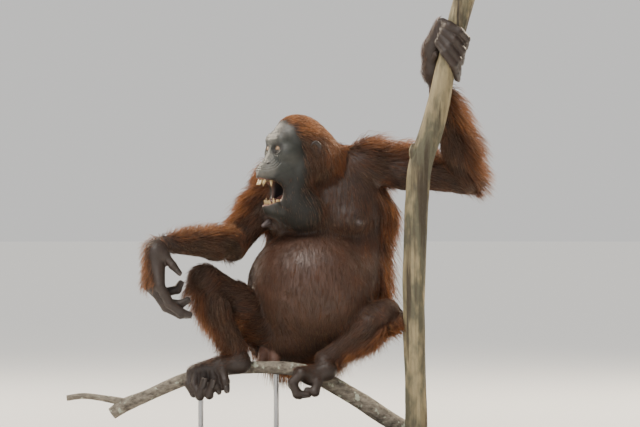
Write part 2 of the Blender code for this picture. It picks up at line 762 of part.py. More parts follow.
def limbs(torso, head_parts, trunk, branch):
    for side in ("left", "right"):
        upper = flesh(f"upper_arm_{side}", upper_arm_forms(side), 0.011, 160, COAT)
        carve(upper, [*torso, *head_parts])
        fore = flesh(f"forearm_{side}", forearm_forms(side), 0.010, 160, COAT)
        carve(fore, [upper, trunk])
        palm_forms, digits = left_hand() if side == "left" else right_hand()
        hand = flesh(f"hand_{side}", palm_forms, 0.006, 200, HAND_SKIN)
        carve(hand, [fore, trunk])
        laid = [hand, fore, trunk, upper]
        for finger, line in digits.items():
            radii = THUMB_RADII if finger == "thumb" else FINGER_RADII
            name = f"thumb_{side}" if finger == "thumb" else f"finger_{finger}_{side}"
            digit = flesh(name, chain(line, radii), 0.0035, 64, HAND_SKIN)
            carve(digit, laid)
            laid.append(digit)
        thigh = flesh(f"thigh_{side}", thigh_forms(side), 0.011, 180, COAT)
        carve(thigh, [*torso, fore])
        shin = flesh(f"shin_{side}", shin_forms(side), 0.010, 160, COAT)
        carve(shin, [thigh, *torso, branch])
        sole_forms, toes = foot(side)
        sole = flesh(f"foot_{side}", sole_forms, 0.006, 200, HAND_SKIN)
        carve(sole, [shin, thigh, *torso, branch])
        laid = [sole, shin, thigh, branch, *torso]
        for number, line in sorted(toes.items()):
            radii = (0.0145, 0.0135, 0.0095) if number == 1 else TOE_RADII
            name = f"big_toe_{side}" if number == 1 else f"toe_{number}_{side}"
            toe = flesh(name, chain(line, radii), 0.0035, 64, HAND_SKIN)
            carve(toe, laid)
            laid.append(toe)


EYE_CENTRE = (0.088, 0.028, -0.003)
EYE_RADIUS = 0.0125


def features(head):
    """Sockets, lids that stand over each eye with a slit between them, and the nostrils."""
    h = HEAD
    forward, across, up = EYE_CENTRE
    for side in (-1, 1):
        centre = h(forward, side * across, up)
        socket = egg(h(forward + 0.028, side * across, up + 0.001), (0.022, 0.0175, 0.0140), h)
        combine(head, socket, "DIFFERENCE")
        remove(socket)
        lid = egg(centre, (EYE_RADIUS + 0.0020,) * 3, h)
        combine(head, lid, "UNION")
        remove(lid)
        keep_largest(head)
        ball = egg(centre, (EYE_RADIUS + GAP,) * 3, h)
        combine(head, ball, "DIFFERENCE")
        remove(ball)
        slit = egg(h(forward + 0.011, side * across, up - 0.0050), (0.012, 0.0105, 0.0034), h)
        combine(head, slit, "DIFFERENCE")
        remove(slit)
        nostril = egg(h(0.127, side * 0.0095, -0.046), (0.010, 0.0052, 0.0040), h, 1)
        combine(head, nostril, "DIFFERENCE")
        remove(nostril)
    keep_largest(head)


def eyes_and_ears(head):
    h = HEAD
    forward, across, up = EYE_CENTRE
    for side, name in ((1, "left"), (-1, "right")):
        ball = egg(h(forward, side * across, up), (EYE_RADIUS - 0.0001,) * 3, h)
        made(f"eye_{name}", ball.data.copy(), EYE)
        remove(ball)
        middle = h(-0.003, side * 0.0765, 0.000)
        leaf = egg(middle, (0.017, 0.0100, 0.0235), h)
        cup = egg(middle + h.left * side * 0.0085 + h.forward * 0.003, (0.0115, 0.0075, 0.0165), h)
        ear = made(f"ear_{name}", leaf.data.copy(), FACE_SKIN)
        remove(leaf)
        combine(ear, cup, "DIFFERENCE")
        remove(cup)
        carve(ear, [head])


def tooth(collection, root, tip, wide, thick, across, edge):
    """A six-sided crown, wide across the row and thinner through it; the edge is a share of its root."""
    root, tip = Vector(root), Vector(tip)
    up = (tip - root).normalized()
    out = Vector(across).cross(up).normalized()
    turn = Matrix((out.cross(up), out, up)).transposed().to_4x4()
    where = Matrix.Translation((root + tip) / 2) @ turn @ Matrix.Diagonal((wide, thick, 1.0, 1.0))
    bm = bmesh.new()
    bmesh.ops.create_cone(bm, cap_ends=True, segments=6, radius1=0.5, radius2=0.5 * edge,
                          depth=(tip - root).length, matrix=where)
    mesh = bpy.data.meshes.new("tooth")
    bm.to_mesh(mesh)
    bm.free()
    crown = bpy.data.objects.new("tooth", mesh)
    collection.objects.link(crown)


# Incisors keep their width to the edge, the canine narrows to a point.
TOOTH_EDGE = (1.0, 0.95, 0.35, 0.8, 0.85)

# Each tooth of one side: root (forward, out, up), tip, width and thickness.
UPPER_TEETH = (
    ((0.136, 0.0062, -0.088), (0.150, 0.0060, -0.1085), 0.0112, 0.0090),
    ((0.132, 0.0160, -0.088), (0.142, 0.0158, -0.1060), 0.0090, 0.0080),
    ((0.119, 0.0225, -0.089), (0.118, 0.0235, -0.1130), 0.0100, 0.0095),
    ((0.106, 0.0230, -0.089), (0.106, 0.0230, -0.1040), 0.0105, 0.0105),
    ((0.093, 0.0232, -0.089), (0.093, 0.0230, -0.1030), 0.0120, 0.0110),
)
LOWER_TEETH = (
    ((0.116, 0.0047, -0.170), (0.126, 0.0047, -0.1545), 0.0088, 0.0085),
    ((0.113, 0.0136, -0.170), (0.122, 0.0136, -0.1545), 0.0088, 0.0085),
    ((0.106, 0.0205, -0.170), (0.110, 0.0215, -0.1470), 0.0095, 0.0095),
    ((0.095, 0.0225, -0.169), (0.095, 0.0225, -0.1510), 0.0105, 0.0105),
    ((0.083, 0.0230, -0.169), (0.083, 0.0230, -0.1500), 0.0120, 0.0110),
)


def mouth(head, jaw):
    """Two rows of teeth on their gums, and the tongue on the floor of the mouth."""
    h = HEAD
    rows = {}
    for name, teeth, jawbone in (("teeth_upper", UPPER_TEETH, head), ("teeth_lower", LOWER_TEETH, jaw)):
        sides = [[h(r[0] - 0.001, s * r[1], r[2]) for r, t, w, k in teeth] for s in (-1, 1)]
        line = sides[0][::-1] + sides[1]
        gum = flesh(name, chain(line, [0.0062] * len(line)), 0.003, 90, TOOTH)
        crowns = bpy.data.collections.new(name)
        scene.collection.children.link(crowns)
        for side in (-1, 1):
            for index, (root, tip, wide, thick) in enumerate(teeth):
                ahead = teeth[max(index - 1, 0)][0]
                behind = teeth[min(index + 1, len(teeth) - 1)][0]
                along = h(ahead[0], side * ahead[1], 0) - h(behind[0], side * behind[1], 0)
                if index == 0:
                    along = h.left
                root_at, tip_at = h(root[0], side * root[1], root[2]), h(tip[0], side * tip[1], tip[2])
                tooth(crowns, root_at, tip_at, wide, thick, along, TOOTH_EDGE[index])
        combine(gum, crowns, "UNION")
        for crown in list(crowns.objects):
            remove(crown)
        bpy.data.collections.remove(crowns)
        keep_largest(gum)
        carve(gum, [head, jaw])
        gum.data.materials.clear()
        gum.data.materials.append(TOOTH)
        rows[name] = gum
    tongue_forms = [
        lump(h(0.080, 0, -0.158), (0.034, 0.017, 0.011), h, 0.01),
        lump(h(0.060, 0, -0.150), (0.020, 0.020, 0.014), h, 0.01),
    ]
    tongue = flesh("tongue", tongue_forms, 0.004, 100, TONGUE)
    carve(tongue, [jaw, head, rows["teeth_lower"], rows["teeth_upper"]])


# The coat's locks: how deep a root goes in, and how thick a lock is at its ridge.
LOCK_ROOT = 0.009
LOCK_THICK = 0.013
DOWN = np.array((0.0, 0.0, -1.0))


def tree_of(thing):
    corners = [v.co for v in thing.data.vertices]
    return BVHTree.FromPolygons(corners, [p.vertices for p in thing.data.polygons])


def whole_body():
    """All the forms of the animal's flesh, so that a lock can be laid over whatever it meets."""
    forms = torso_forms() + head_forms() + left_hand()[0] + right_hand()[0]
    for side in ("left", "right"):
        forms += upper_arm_forms(side) + forearm_forms(side) + thigh_forms(side) + shin_forms(side)
        forms += foot(side)[0]
    return forms


def height_above(forms, point):
    """How far a point stands off the flesh, negative inside it, and the way out."""
    step = 0.002
    tries = np.array(point) + np.vstack((np.zeros(3), np.eye(3))) * step
    here, *ahead = depth_outside(forms, tries)
    slope = (np.array(ahead) - here) / step
    return here, slope / (np.sqrt(slope @ slope) + 1e-9)


def lock_line(flesh_forms, spot, normal, lie, length, lift):
    """The middle line of a lock: it starts under the skin and lifts towards its tip, over all it meets."""
    lie = lie - normal * min(0.0, float(normal @ lie))
    along = lie / np.sqrt(lie @ lie)
    line = [spot - normal * LOCK_ROOT - along * 0.010]
    for share in (0.28, 0.62, 1.0):
        point = spot + along * length * share + DOWN * length * 0.10 * share * share
        for turn in range(2):
            need = lift * (0.45 + 0.55 * share)
            high, out = height_above(flesh_forms, point)
            if high < need:
                point = point + out * (need - high)
        line.append(point)
    return line


def blade(line, normal, wide, thick):
    """A flat lock narrowing to its tip, arched over what it covers, with its ridge outwards."""
    bm = bmesh.new()
    rings = []
    for index, share in enumerate((0.80, 1.0, 0.72)):
        along = line[index + 1] - line[max(index - 1, 0)]
        side = np.cross(normal, along)
        side /= np.sqrt(side @ side)
        up = np.cross(along, side)
        up /= np.sqrt(up @ up)
        middle, half = line[index], side * wide * share / 2
        low = up * thick * 0.35 * share
        rings.append([
            bm.verts.new(middle - half - low),
            bm.verts.new(middle + half - low),
            bm.verts.new(middle + up * thick * 0.65 * share),
        ])
    tip = bm.verts.new(line[3])
    bm.faces.new(rings[0])
    for first, second in zip(rings, rings[1:]):
        for k in range(3):
            bm.faces.new((first[k], first[(k + 1) % 3], second[(k + 1) % 3], second[k]))
    for k in range(3):
        bm.faces.new((rings[-1][k], rings[-1][(k + 1) % 3], tip))
    bmesh.ops.recalc_face_normals(bm, faces=bm.faces)
    bmesh.ops.triangulate(bm, faces=bm.faces)
    return bm


def merge_flats(thing):
    """Joins the scraps that a union leaves of one flat face."""
    bm = bmesh.new()
    bm.from_mesh(thing.data)
    bmesh.ops.dissolve_limit(bm, angle_limit=math.radians(0.5), verts=bm.verts, edges=bm.edges)
    bmesh.ops.triangulate(bm, faces=bm.faces)
    bm.to_mesh(thing.data)
    bm.free()


def grow_locks(name, seeds, flesh_forms, rng):
    """Fuses a lock into the node at each seed (root, lie, length, width, lift), clear of other nodes."""
    node = model.objects[name]
    own = tree_of(node)
    crowd = [tree_of(other) for other in model.objects if other is not node and near(node, other, 0.05)]
    tuft = bpy.data.collections.new("locks")
    scene.collection.children.link(tuft)
    for root, lie, length, wide, lift in seeds:
        spot, normal, _, _ = own.find_nearest(Vector(root))
        if any(tree.find_nearest(spot, 0.004)[0] is not None for tree in crowd):
            continue
        spot, normal = np.array(spot), np.array(normal)
        length *= rng.uniform(0.85, 1.15)
        lie = np.array(lie, float) + [rng.uniform(-0.16, 0.16) for _ in range(3)]
        for trial in (1.0, 0.75, 0.55):
            line = lock_line(flesh_forms, spot, normal, lie, length * trial, lift * trial)
            fat = blade(line, normal, wide + 0.0016, LOCK_THICK + 0.0016)
            clear = BVHTree.FromBMesh(fat)
            fat.free()
            if not any(clear.overlap(tree) for tree in crowd):
                break
        else:
            continue
        thin = blade(line, normal, wide, LOCK_THICK)
        mesh = bpy.data.meshes.new("lock")
        thin.to_mesh(mesh)
        thin.free()
        tuft.objects.link(bpy.data.objects.new("lock", mesh))
    if tuft.objects:
        look = node.data.materials[0]
        combine(node, tuft, "UNION", "MANIFOLD")
        merge_flats(node)
        for grown in list(tuft.objects):
            remove(grown)
        keep_largest(node)
        node.data.materials.clear()
        node.data.materials.append(look)
    bpy.data.collections.remove(tuft)


def limb_seeds(start, end, rows, around, towards, lie, size, rng):
    """Roots in rows along a limb, each row spread round the side that faces 'towards'."""
    start, end = np.array(start, float), np.array(end, float)
    along = (end - start) / np.sqrt((end - start) @ (end - start))
    out = np.array(towards, float) - along * float(np.array(towards) @ along)
    out /= np.sqrt(out @ out)
    side = np.cross(along, out)
    length, wide, lift, stand = size
    seeds = []
    for row, share in enumerate(rows):
        for angle in around:
            turn = math.radians(angle + (10 if row % 2 else -10) + rng.uniform(-5, 5))
            way = out * math.cos(turn) + side * math.sin(turn)
            root = mix(start, end, share + rng.uniform(-0.03, 0.03)) + way * 0.07
            seeds.append((root, np.array(lie) + way * stand, length, wide, lift))
    return seeds


def arm_seeds(rng):
    """Upper-arm hair runs from the shoulder to the elbow, forearm hair from the wrist back up to it."""
    s, e, w = SHOULDER, ELBOW, WRIST
    return {
        "upper_arm_left": limb_seeds(
            s["left"], e["left"], (0.12, 0.44, 0.76), (-115, -50, 0, 50, 115),
            (0, 0.4, 1), (0.80, 0.12, -0.25), (0.115, 0.056, 0.016, 0.42), rng),
        "forearm_left": limb_seeds(
            w["left"], e["left"], (0.18, 0.50, 0.84), (-90, -42, 5, 50),
            (1, 0.35, 0.25), (0.30, 0.15, -0.90), (0.125, 0.054, 0.020, 0.46), rng),
        "upper_arm_right": limb_seeds(
            s["right"], e["right"], (0.14, 0.44, 0.74), (-105, -45, 10, 65),
            (-1, 0.5, 0.6), (-0.50, -0.35, -0.80), (0.115, 0.056, 0.016, 0.36), rng),
        "forearm_right": limb_seeds(
            w["right"], e["right"], (0.20, 0.50, 0.80), (-115, -45, 20, 85),
            (-0.2, 0.3, 1), (0.70, 0.55, -0.25), (0.105, 0.052, 0.013, 0.26), rng),
    }


def leg_seeds(rng):
    seeds = {}
    for side, outer in (("left", (0.5, 0.4, -0.6)), ("right", (-0.9, 0.35, 0.4))):
        down_leg = np.array(KNEE[side]) - HIP[side]
        down_shin = np.array(ANKLE[side]) - KNEE[side]
        seeds[f"thigh_{side}"] = limb_seeds(
            HIP[side], KNEE[side], (0.50, 0.82), (-75, -15, 45, 105), outer,
            down_leg * 3 + DOWN * 0.4, (0.090, 0.054, 0.010, 0.20), rng)
        seeds[f"shin_{side}"] = limb_seeds(
            KNEE[side], ANKLE[side], (0.22, 0.58), (-75, -15, 45, 105), outer,
            down_shin * 3 + DOWN * 0.4, (0.080, 0.048, 0.009, 0.20), rng)
    return seeds


def back_seeds():
    """Long hair down the back and flanks, in rows like shingles."""
    seeds = {"chest": [], "belly": []}
    rows = (("chest", CHEST, (0.10, 0.01, -0.09)), ("belly", BELLY, (0.06, -0.04, -0.13)))
    for name, place, heights in rows:
        for row, high in enumerate(heights):
            for angle in range(108, 270, 39):
                turn = math.radians(angle + (9 if row % 2 else -9))
                way = place.forward * math.cos(turn) + place.left * math.sin(turn)
                seeds[name].append((place(0, 0, high) + way * 0.22, DOWN + way * 0.28, 0.125, 0.066, 0.015))
    return seeds


def head_seeds():
    """Crown hair swept back over the nape, and long hair down the sides behind the bare face."""
    h = HEAD
    seeds = []
    for row, (tilt, count) in enumerate(((12, 2), (42, 3), (76, 4), (108, 4))):
        for k in range(count):
            spread = math.radians((k - (count - 1) / 2) * 44)
            lean = math.radians(tilt)
            level = h.left * math.sin(spread) - h.forward * math.cos(spread)
            way = h.up * math.cos(lean) + level * math.sin(lean)
            lie = -h.forward * 0.9 * math.cos(lean) - h.up * (0.25 + math.sin(lean)) + way * 0.12
            seeds.append((h(0.005, 0, 0.02) + way * 0.12, lie, 0.080, 0.050, 0.008))
    for side in (-1, 1):
        for forward, up in ((0.028, -0.040), (-0.004, -0.055), (0.034, -0.095), (0.004, -0.110)):
            lie = -h.up + h.left * side * 0.16 - h.forward * 0.22
            seeds.append((h(forward, side * 0.10, up), lie, 0.090, 0.042, 0.009))
    return seeds


def coat():
    """Locks over the head, back, arms and legs. The chest, belly and inner thighs keep a thin coat."""
    rng = random.Random(5)
    flesh_forms = whole_body()
    for name, seeds in {"head": head_seeds(), **back_seeds(), **arm_seeds(rng), **leg_seeds(rng)}.items():
        grow_locks(name, seeds, flesh_forms, rng)


base, trunk, branch, rods = stand_and_perch()

torso = flesh("torso", torso_forms(), 0.011, 1100, COAT)
navel = egg(BELLY(0.176, 0.0, -0.02), (0.006, 0.009, 0.007), BELLY)
combine(torso, navel, "DIFFERENCE")
remove(navel)
torso = part(
    torso,
    [((0.0, 0.0, WAIST), (0.0, 0.0, 1.0), 0.6)],
    [("chest", CHEST_AT, COAT), ("belly", BELLY_AT, BELLY_SKIN)],
)

head = flesh("head_all", head_forms(), 0.0045, 2200, FACE_SKIN)
h = HEAD
hollow = egg(h(0.124, 0, -0.129), (0.080, 0.029, 0.038), h, 3, 3.5)
combine(head, hollow, "DIFFERENCE")
remove(hollow)
keep_largest(head)
parts = part(
    head,
    [
        (h(0.065, 0, -0.132), h.up * 0.96 + h.forward * 0.28, 0.11),
        (h(-0.010, 0, -0.1226), h.up * 0.697 + h.forward * 0.717, 0.3),
    ],
    [
        ("head", h(0.02, 0, 0.0), FACE_SKIN),
        ("jaw", h(0.07, 0, -0.17), FACE_SKIN),
        ("neck", h(-0.03, 0, -0.16), COAT),
    ],
)
head, jaw, neck = parts
for piece in parts:
    carve(piece, torso)
features(head)
eyes_and_ears(head)
mouth(head, jaw)
limbs(torso, parts, trunk, branch)
coat()
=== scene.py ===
import math

import bmesh
import bpy
import numpy as np
from mathutils import Matrix, Vector
from mathutils.kdtree import KDTree


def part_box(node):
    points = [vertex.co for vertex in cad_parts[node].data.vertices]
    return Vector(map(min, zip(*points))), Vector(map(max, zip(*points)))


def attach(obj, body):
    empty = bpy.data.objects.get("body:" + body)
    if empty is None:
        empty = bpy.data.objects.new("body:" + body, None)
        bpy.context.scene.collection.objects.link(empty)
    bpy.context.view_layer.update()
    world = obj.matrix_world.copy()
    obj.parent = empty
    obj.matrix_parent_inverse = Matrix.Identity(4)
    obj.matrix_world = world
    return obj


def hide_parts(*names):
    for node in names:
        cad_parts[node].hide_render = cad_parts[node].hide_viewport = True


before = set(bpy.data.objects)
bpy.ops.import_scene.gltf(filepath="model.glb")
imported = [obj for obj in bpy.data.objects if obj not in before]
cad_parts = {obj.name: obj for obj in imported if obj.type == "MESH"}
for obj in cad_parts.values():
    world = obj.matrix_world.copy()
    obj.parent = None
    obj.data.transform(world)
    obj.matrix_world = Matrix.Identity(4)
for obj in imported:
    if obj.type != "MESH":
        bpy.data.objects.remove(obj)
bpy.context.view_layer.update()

# A female orangutan squatting on a cut branch, holding a slim trunk and calling. Metres, +Z up, the
# floor at z = 0; she faces -Y turned towards -X, and left and right are her own.
scene = bpy.context.scene


# The studio: a pale floor, a soft sun from high on the left in front, a wide weak fill, and a lamp
# behind on each side that catches the ends of the hair. The camera stands level with the belly.
CAMERA_AT = (-0.03, -8.0, 0.7105)
LENS_MM = 150
FLOOR_RADIUS = 60.0
FLOOR_COLOUR = (0.80, 0.79, 0.77)
SKY_COLOUR = (0.87, 0.90, 0.94)
SKY_STRENGTH = 0.37
BACKDROP_COLOUR = (0.750, 0.742, 0.728)
# The key is a soft sun: the way it shines, its strength, its spread in degrees and its colour.
KEY = ((0.42, 0.50, -1.0), 3.0, 20, (1.0, 0.965, 0.90))
# Each lamp: place, what it faces, side of its square, watts, colour.
LAMPS = {
    "fill": ((-2.6, -5.2, 2.2), (-0.05, 0.0, 0.75), 2.6, 70, (0.95, 0.97, 1.0)),
    "rim_right": ((2.6, 2.0, 2.9), (0.1, 0.0, 0.85), 1.2, 230, (1.0, 0.86, 0.66)),
    "rim_left": ((-2.8, 2.2, 2.6), (-0.2, 0.0, 0.75), 1.2, 130, (1.0, 0.88, 0.70)),
}


def put(thing):
    """Adds an object to the scene."""
    scene.collection.objects.link(thing)
    return thing


def feed(node, values):
    """Sets each input of a node to its value, or links it to its socket."""
    for name, value in dict(values).items():
        if isinstance(value, bpy.types.NodeSocket):
            node.id_data.links.new(value, node.inputs[name])
        else:
            node.inputs[name].default_value = value


def add_node(tree, kind, inputs=(), **settings):
    """A node with its settings and inputs."""
    made = tree.nodes.new(kind)
    for name, value in settings.items():
        setattr(made, name, value)
    feed(made, inputs)
    return made


def new_finish(name):
    """A material and its surface shader."""
    made = bpy.data.materials.new(name)
    made.use_nodes = True
    return made, made.node_tree, made.node_tree.nodes["Principled BSDF"]


def mesh_of(bm, name):
    mesh = bpy.data.meshes.new(name)
    bm.to_mesh(mesh)
    bm.free()
    return mesh


camera_data = bpy.data.cameras.new("camera")
camera_data.lens = LENS_MM
camera_data.clip_end = 100
camera = put(bpy.data.objects.new("camera", camera_data))
camera.location = CAMERA_AT
camera.rotation_euler = (math.radians(90), 0, 0)
scene.camera = camera


def aimed(name, data, at, aim):
    """A light at a place, facing another."""
    light = put(bpy.data.objects.new(name, data))
    light.location = at
    light.rotation_mode = "QUATERNION"
    light.rotation_quaternion = (Vector(aim) - Vector(at)).to_track_quat("-Z", "Y")


shine, strength, spread, colour = KEY
sun = bpy.data.lights.new("key", "SUN")
sun.energy = strength
sun.angle = math.radians(spread)
sun.color = colour
aimed("key", sun, (0, 0, 5), Vector((0, 0, 5)) + Vector(shine))
for name, (at, aim, side, watts, colour) in LAMPS.items():
    lamp = bpy.data.lights.new(name, "AREA")
    lamp.size = side
    lamp.energy = watts
    lamp.color = colour
    aimed(name, lamp, at, aim)

world = bpy.data.worlds.new("studio")
world.use_nodes = True
tree = world.node_tree
sky = tree.nodes["Background"]
feed(sky, {"Color": (*SKY_COLOUR, 1), "Strength": SKY_STRENGTH})
# What the camera sees behind the floor is the floor's own paler tone.
backdrop = add_node(tree, "ShaderNodeBackground", {"Color": (*BACKDROP_COLOUR, 1), "Strength": 1.0})
seen = add_node(tree, "ShaderNodeLightPath").outputs["Is Camera Ray"]
choice = add_node(tree, "ShaderNodeMixShader", {0: seen, 1: sky.outputs[0], 2: backdrop.outputs[0]})
feed(tree.nodes["World Output"], {"Surface": choice.outputs[0]})
scene.world = world

bm = bmesh.new()
bmesh.ops.create_circle(bm, cap_ends=True, segments=96, radius=FLOOR_RADIUS)
floor = put(bpy.data.objects.new("floor", mesh_of(bm, "floor")))
floor.location = (0, 0, -0.0005)
floor_finish, tree, surface = new_finish("floor_paint")
feed(surface, {"Base Color": (*FLOOR_COLOUR, 1), "Roughness": 0.85})
floor.data.materials.append(floor_finish)


# The display base: a dark stained board with rounded corners and an eased top edge, carrying two
# brushed steel rods that run up to the branch.
BASE_SIZE = (0.84, 0.56, 0.030)
BASE_CORNER = 0.06
BASE_EASE = 0.005
BOARD_COLOUR = (0.030, 0.027, 0.026)
BOARD_GRAIN = (0.062, 0.052, 0.045)
ROD_RADIUS = 0.0079
ROD_COLLAR = 0.006
STEEL_COLOUR = (0.52, 0.52, 0.53)


def ranged(tree, value, low, high, start=0.0, end=1.0):
    """The value's run from start to end, mapped to run from low to high."""
    ends = {"From Min": start, "From Max": end, "To Min": low, "To Max": high}
    return add_node(tree, "ShaderNodeMapRange", {"Value": value, **ends}).outputs["Result"]


def mottle():
    """The group 'mottle': broad soft patches, fine grain, and fine relief."""
    tree = bpy.data.node_groups.new("mottle", "ShaderNodeTree")
    tree.interface.new_socket("Place", in_out="INPUT", socket_type="NodeSocketVector")
    for name in ("Patch scale", "Grain scale"):
        tree.interface.new_socket(name, in_out="INPUT", socket_type="NodeSocketFloat")
    for name in ("Patches", "Grain", "Relief"):
        tree.interface.new_socket(name, in_out="OUTPUT", socket_type="NodeSocketFloat")
    given = add_node(tree, "NodeGroupInput").outputs
    fields = []
    for scale, detail, rough in (("Patch scale", 4.0, 0.6), ("Grain scale", 5.0, 0.65)):
        inputs = {"Vector": given["Place"], "Scale": given[scale], "Detail": detail, "Roughness": rough}
        fields.append(add_node(tree, "ShaderNodeTexNoise", inputs).outputs["Fac"])
    patches, grain = fields
    sharp = ranged(tree, patches, 0.0, 1.0, 0.35, 0.65)
    fine = ranged(tree, grain, 0.0, 1.0, 0.32, 0.68)
    relief = add_node(tree, "ShaderNodeMath", {0: fine, 1: 0.7}, operation="MULTIPLY").outputs[0]
    mixed = add_node(
        tree, "ShaderNodeMath", {0: sharp, 1: 0.3, 2: relief}, operation="MULTIPLY_ADD"
    ).outputs[0]
    add_node(tree, "NodeGroupOutput", {"Patches": sharp, "Grain": fine, "Relief": mixed})
    return tree


MOTTLE = mottle()


def mottled(tree, patch, grain, stretch=(1, 1, 1)):
    """The mottle group on the object's own coordinates."""
    place = add_node(tree, "ShaderNodeTexCoord").outputs["Object"]
    drawn = add_node(tree, "ShaderNodeMapping", {"Vector": place, "Scale": stretch})
    group = add_node(tree, "ShaderNodeGroup", node_tree=MOTTLE)
    feed(group, {"Place": drawn.outputs[0], "Patch scale": patch, "Grain scale": grain})
    return group.outputs


def blended(tree, share, first, second):
    """The colour between two, each a value or a socket."""
    made = add_node(tree, "ShaderNodeMix", data_type="RGBA")
    for index, value in ((0, share), (6, first), (7, second)):
        if isinstance(value, bpy.types.NodeSocket):
            tree.links.new(value, made.inputs[index])
        else:
            made.inputs[index].default_value = (*value, 1) if isinstance(value, tuple) else value
    return made.outputs[2]


def bumped(tree, surface, height, depth, strength=1.0):
    """Feeds fine relief to the surface; the depth is in metres."""
    bump = add_node(tree, "ShaderNodeBump", {"Height": height, "Distance": depth, "Strength": strength})
    feed(surface, {"Normal": bump.outputs["Normal"]})


def finished(name, bm, look, smooth=True):
    """An object from mesh code, riding on the model's one body."""
    mesh = mesh_of(bm, name)
    mesh.materials.append(look)
    for face in mesh.polygons:
        face.use_smooth = smooth
    thing = put(bpy.data.objects.new(name, mesh))
    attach(thing, "root")
    return thing


wide, deep, thick = BASE_SIZE
bm = bmesh.new()
where = Matrix.Translation((0, 0, thick / 2)) @ Matrix.Diagonal((wide, deep, thick, 1))
bmesh.ops.create_cube(bm, size=1.0, matrix=where)
upright = [e for e in bm.edges if abs(e.verts[0].co.z - e.verts[1].co.z) > thick / 2]
bmesh.ops.bevel(bm, geom=upright, offset=BASE_CORNER, segments=14, profile=0.5, affect="EDGES")
level = [e for e in bm.edges if abs(e.verts[0].co.z - e.verts[1].co.z) < 1e-6]
rim = [e for e in level if not all(abs(f.normal.z) > 0.5 for f in e.link_faces)]
bmesh.ops.bevel(bm, geom=rim, offset=BASE_EASE * 0.6, segments=4, profile=0.5, affect="EDGES")
board_finish, tree, surface = new_finish("stained_board")
spread = mottled(tree, 9.0, 60.0, (1, 9, 9))
stained = blended(tree, spread["Grain"], BOARD_COLOUR, BOARD_GRAIN)
feed(surface, {"Base Color": stained, "Roughness": ranged(tree, spread["Patches"], 0.30, 0.42)})
bumped(tree, surface, spread["Relief"], 0.0003, 0.5)
board = finished("display_board", bm, board_finish, smooth=False)
board.modifiers.new("soft corners", "WEIGHTED_NORMAL")
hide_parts("stand_base")

steel_finish, tree, surface = new_finish("brushed_rod")
spread = mottled(tree, 30.0, 400.0, (1, 1, 0.08))
brushed = ranged(tree, spread["Grain"], 0.22, 0.40)
feed(surface, {"Base Color": (*STEEL_COLOUR, 1), "Metallic": 1.0, "Roughness": brushed})
for number in (1, 2):
    node = f"stand_rod_{number}"
    low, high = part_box(node)
    bm = bmesh.new()
    middle = ((low[0] + high[0]) / 2, (low[1] + high[1]) / 2)
    tall = high[2] - low[2] - 0.001
    where = Matrix.Translation((*middle, low[2] + tall / 2))
    collar = Matrix.Translation((*middle, low[2] + ROD_COLLAR / 2))
    for at, first, last, depth in ((where, 1.0, 1.0, tall), (collar, 2.1, 1.7, ROD_COLLAR)):
        bmesh.ops.create_cone(
            bm, cap_ends=True, segments=40, radius1=ROD_RADIUS * first, radius2=ROD_RADIUS * last,
            depth=depth, matrix=at,
        )
    rod = finished(f"rod_{number}", bm, steel_finish, smooth=False)
    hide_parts(node)


# The cut trunk she holds: a slim bare stem with long shallow furrows, a knot and a few dents, olive
# tan where it is worn and grey-brown in the furrows.
TRUNK = (
    (0.254, -0.115, 0.0303, 0.036),
    (0.254, -0.115, 0.150, 0.033),
    (0.248, -0.115, 0.455, 0.034),
    (0.257, -0.115, 0.750, 0.037),
    (0.267, -0.115, 0.854, 0.037),
    (0.300, -0.115, 0.957, 0.035),
    (0.323, -0.115, 1.046, 0.033),
    (0.338, -0.115, 1.120, 0.031),
    (0.366, -0.115, 1.230, 0.031),
    (0.396, -0.115, 1.342, 0.033),
    (0.408, -0.115, 1.390, 0.033),
)
TRUNK_KNOT = (0.246, -0.122, 0.890)
TRUNK_WORN = (0.400, 0.320, 0.175)
TRUNK_FURROW = (0.060, 0.044, 0.026)
TRUNK_GREY = (0.140, 0.130, 0.080)


def smooth_line(stations, between):
    """Points along a smooth curve through the stations."""
    rows = np.array(stations, float)
    rows = np.vstack((2 * rows[0] - rows[1], rows, 2 * rows[-1] - rows[-2]))
    out = []
    for i in range(1, len(rows) - 2):
        p0, p1, p2, p3 = rows[i - 1 : i + 3]
        for step in range(between):
            t = step / between
            out.append(
                0.5 * (2 * p1 + (p2 - p0) * t + (2 * p0 - 5 * p1 + 4 * p2 - p3) * t * t
                       + (3 * p1 - p0 - 3 * p2 + p3) * t ** 3)
            )
    out.append(rows[-2])
    return np.array(out)


def unit(vectors):
    return vectors / (np.sqrt((vectors * vectors).sum(-1, keepdims=True)) + 1e-12)


def ripple(points, size, seed, count=9):
    """Smooth uneven variation between about -1 and 1, its bumps about this far apart."""
    rng = np.random.default_rng(seed)
    total = np.zeros(len(points))
    for way in unit(rng.normal(size=(count, 3))):
        total += np.sin(points @ way * (2 * math.pi / size) * rng.uniform(0.6, 1.5) + rng.uniform(0, 6.28))
    return total / count ** 0.5


def wall(bm, rings):
    """Quads between closed rings of vertices."""
    for low, high in zip(rings, rings[1:]):
        for k in range(len(low)):
            n = (k + 1) % len(low)
            bm.faces.new((low[k], low[n], high[n], high[k]))


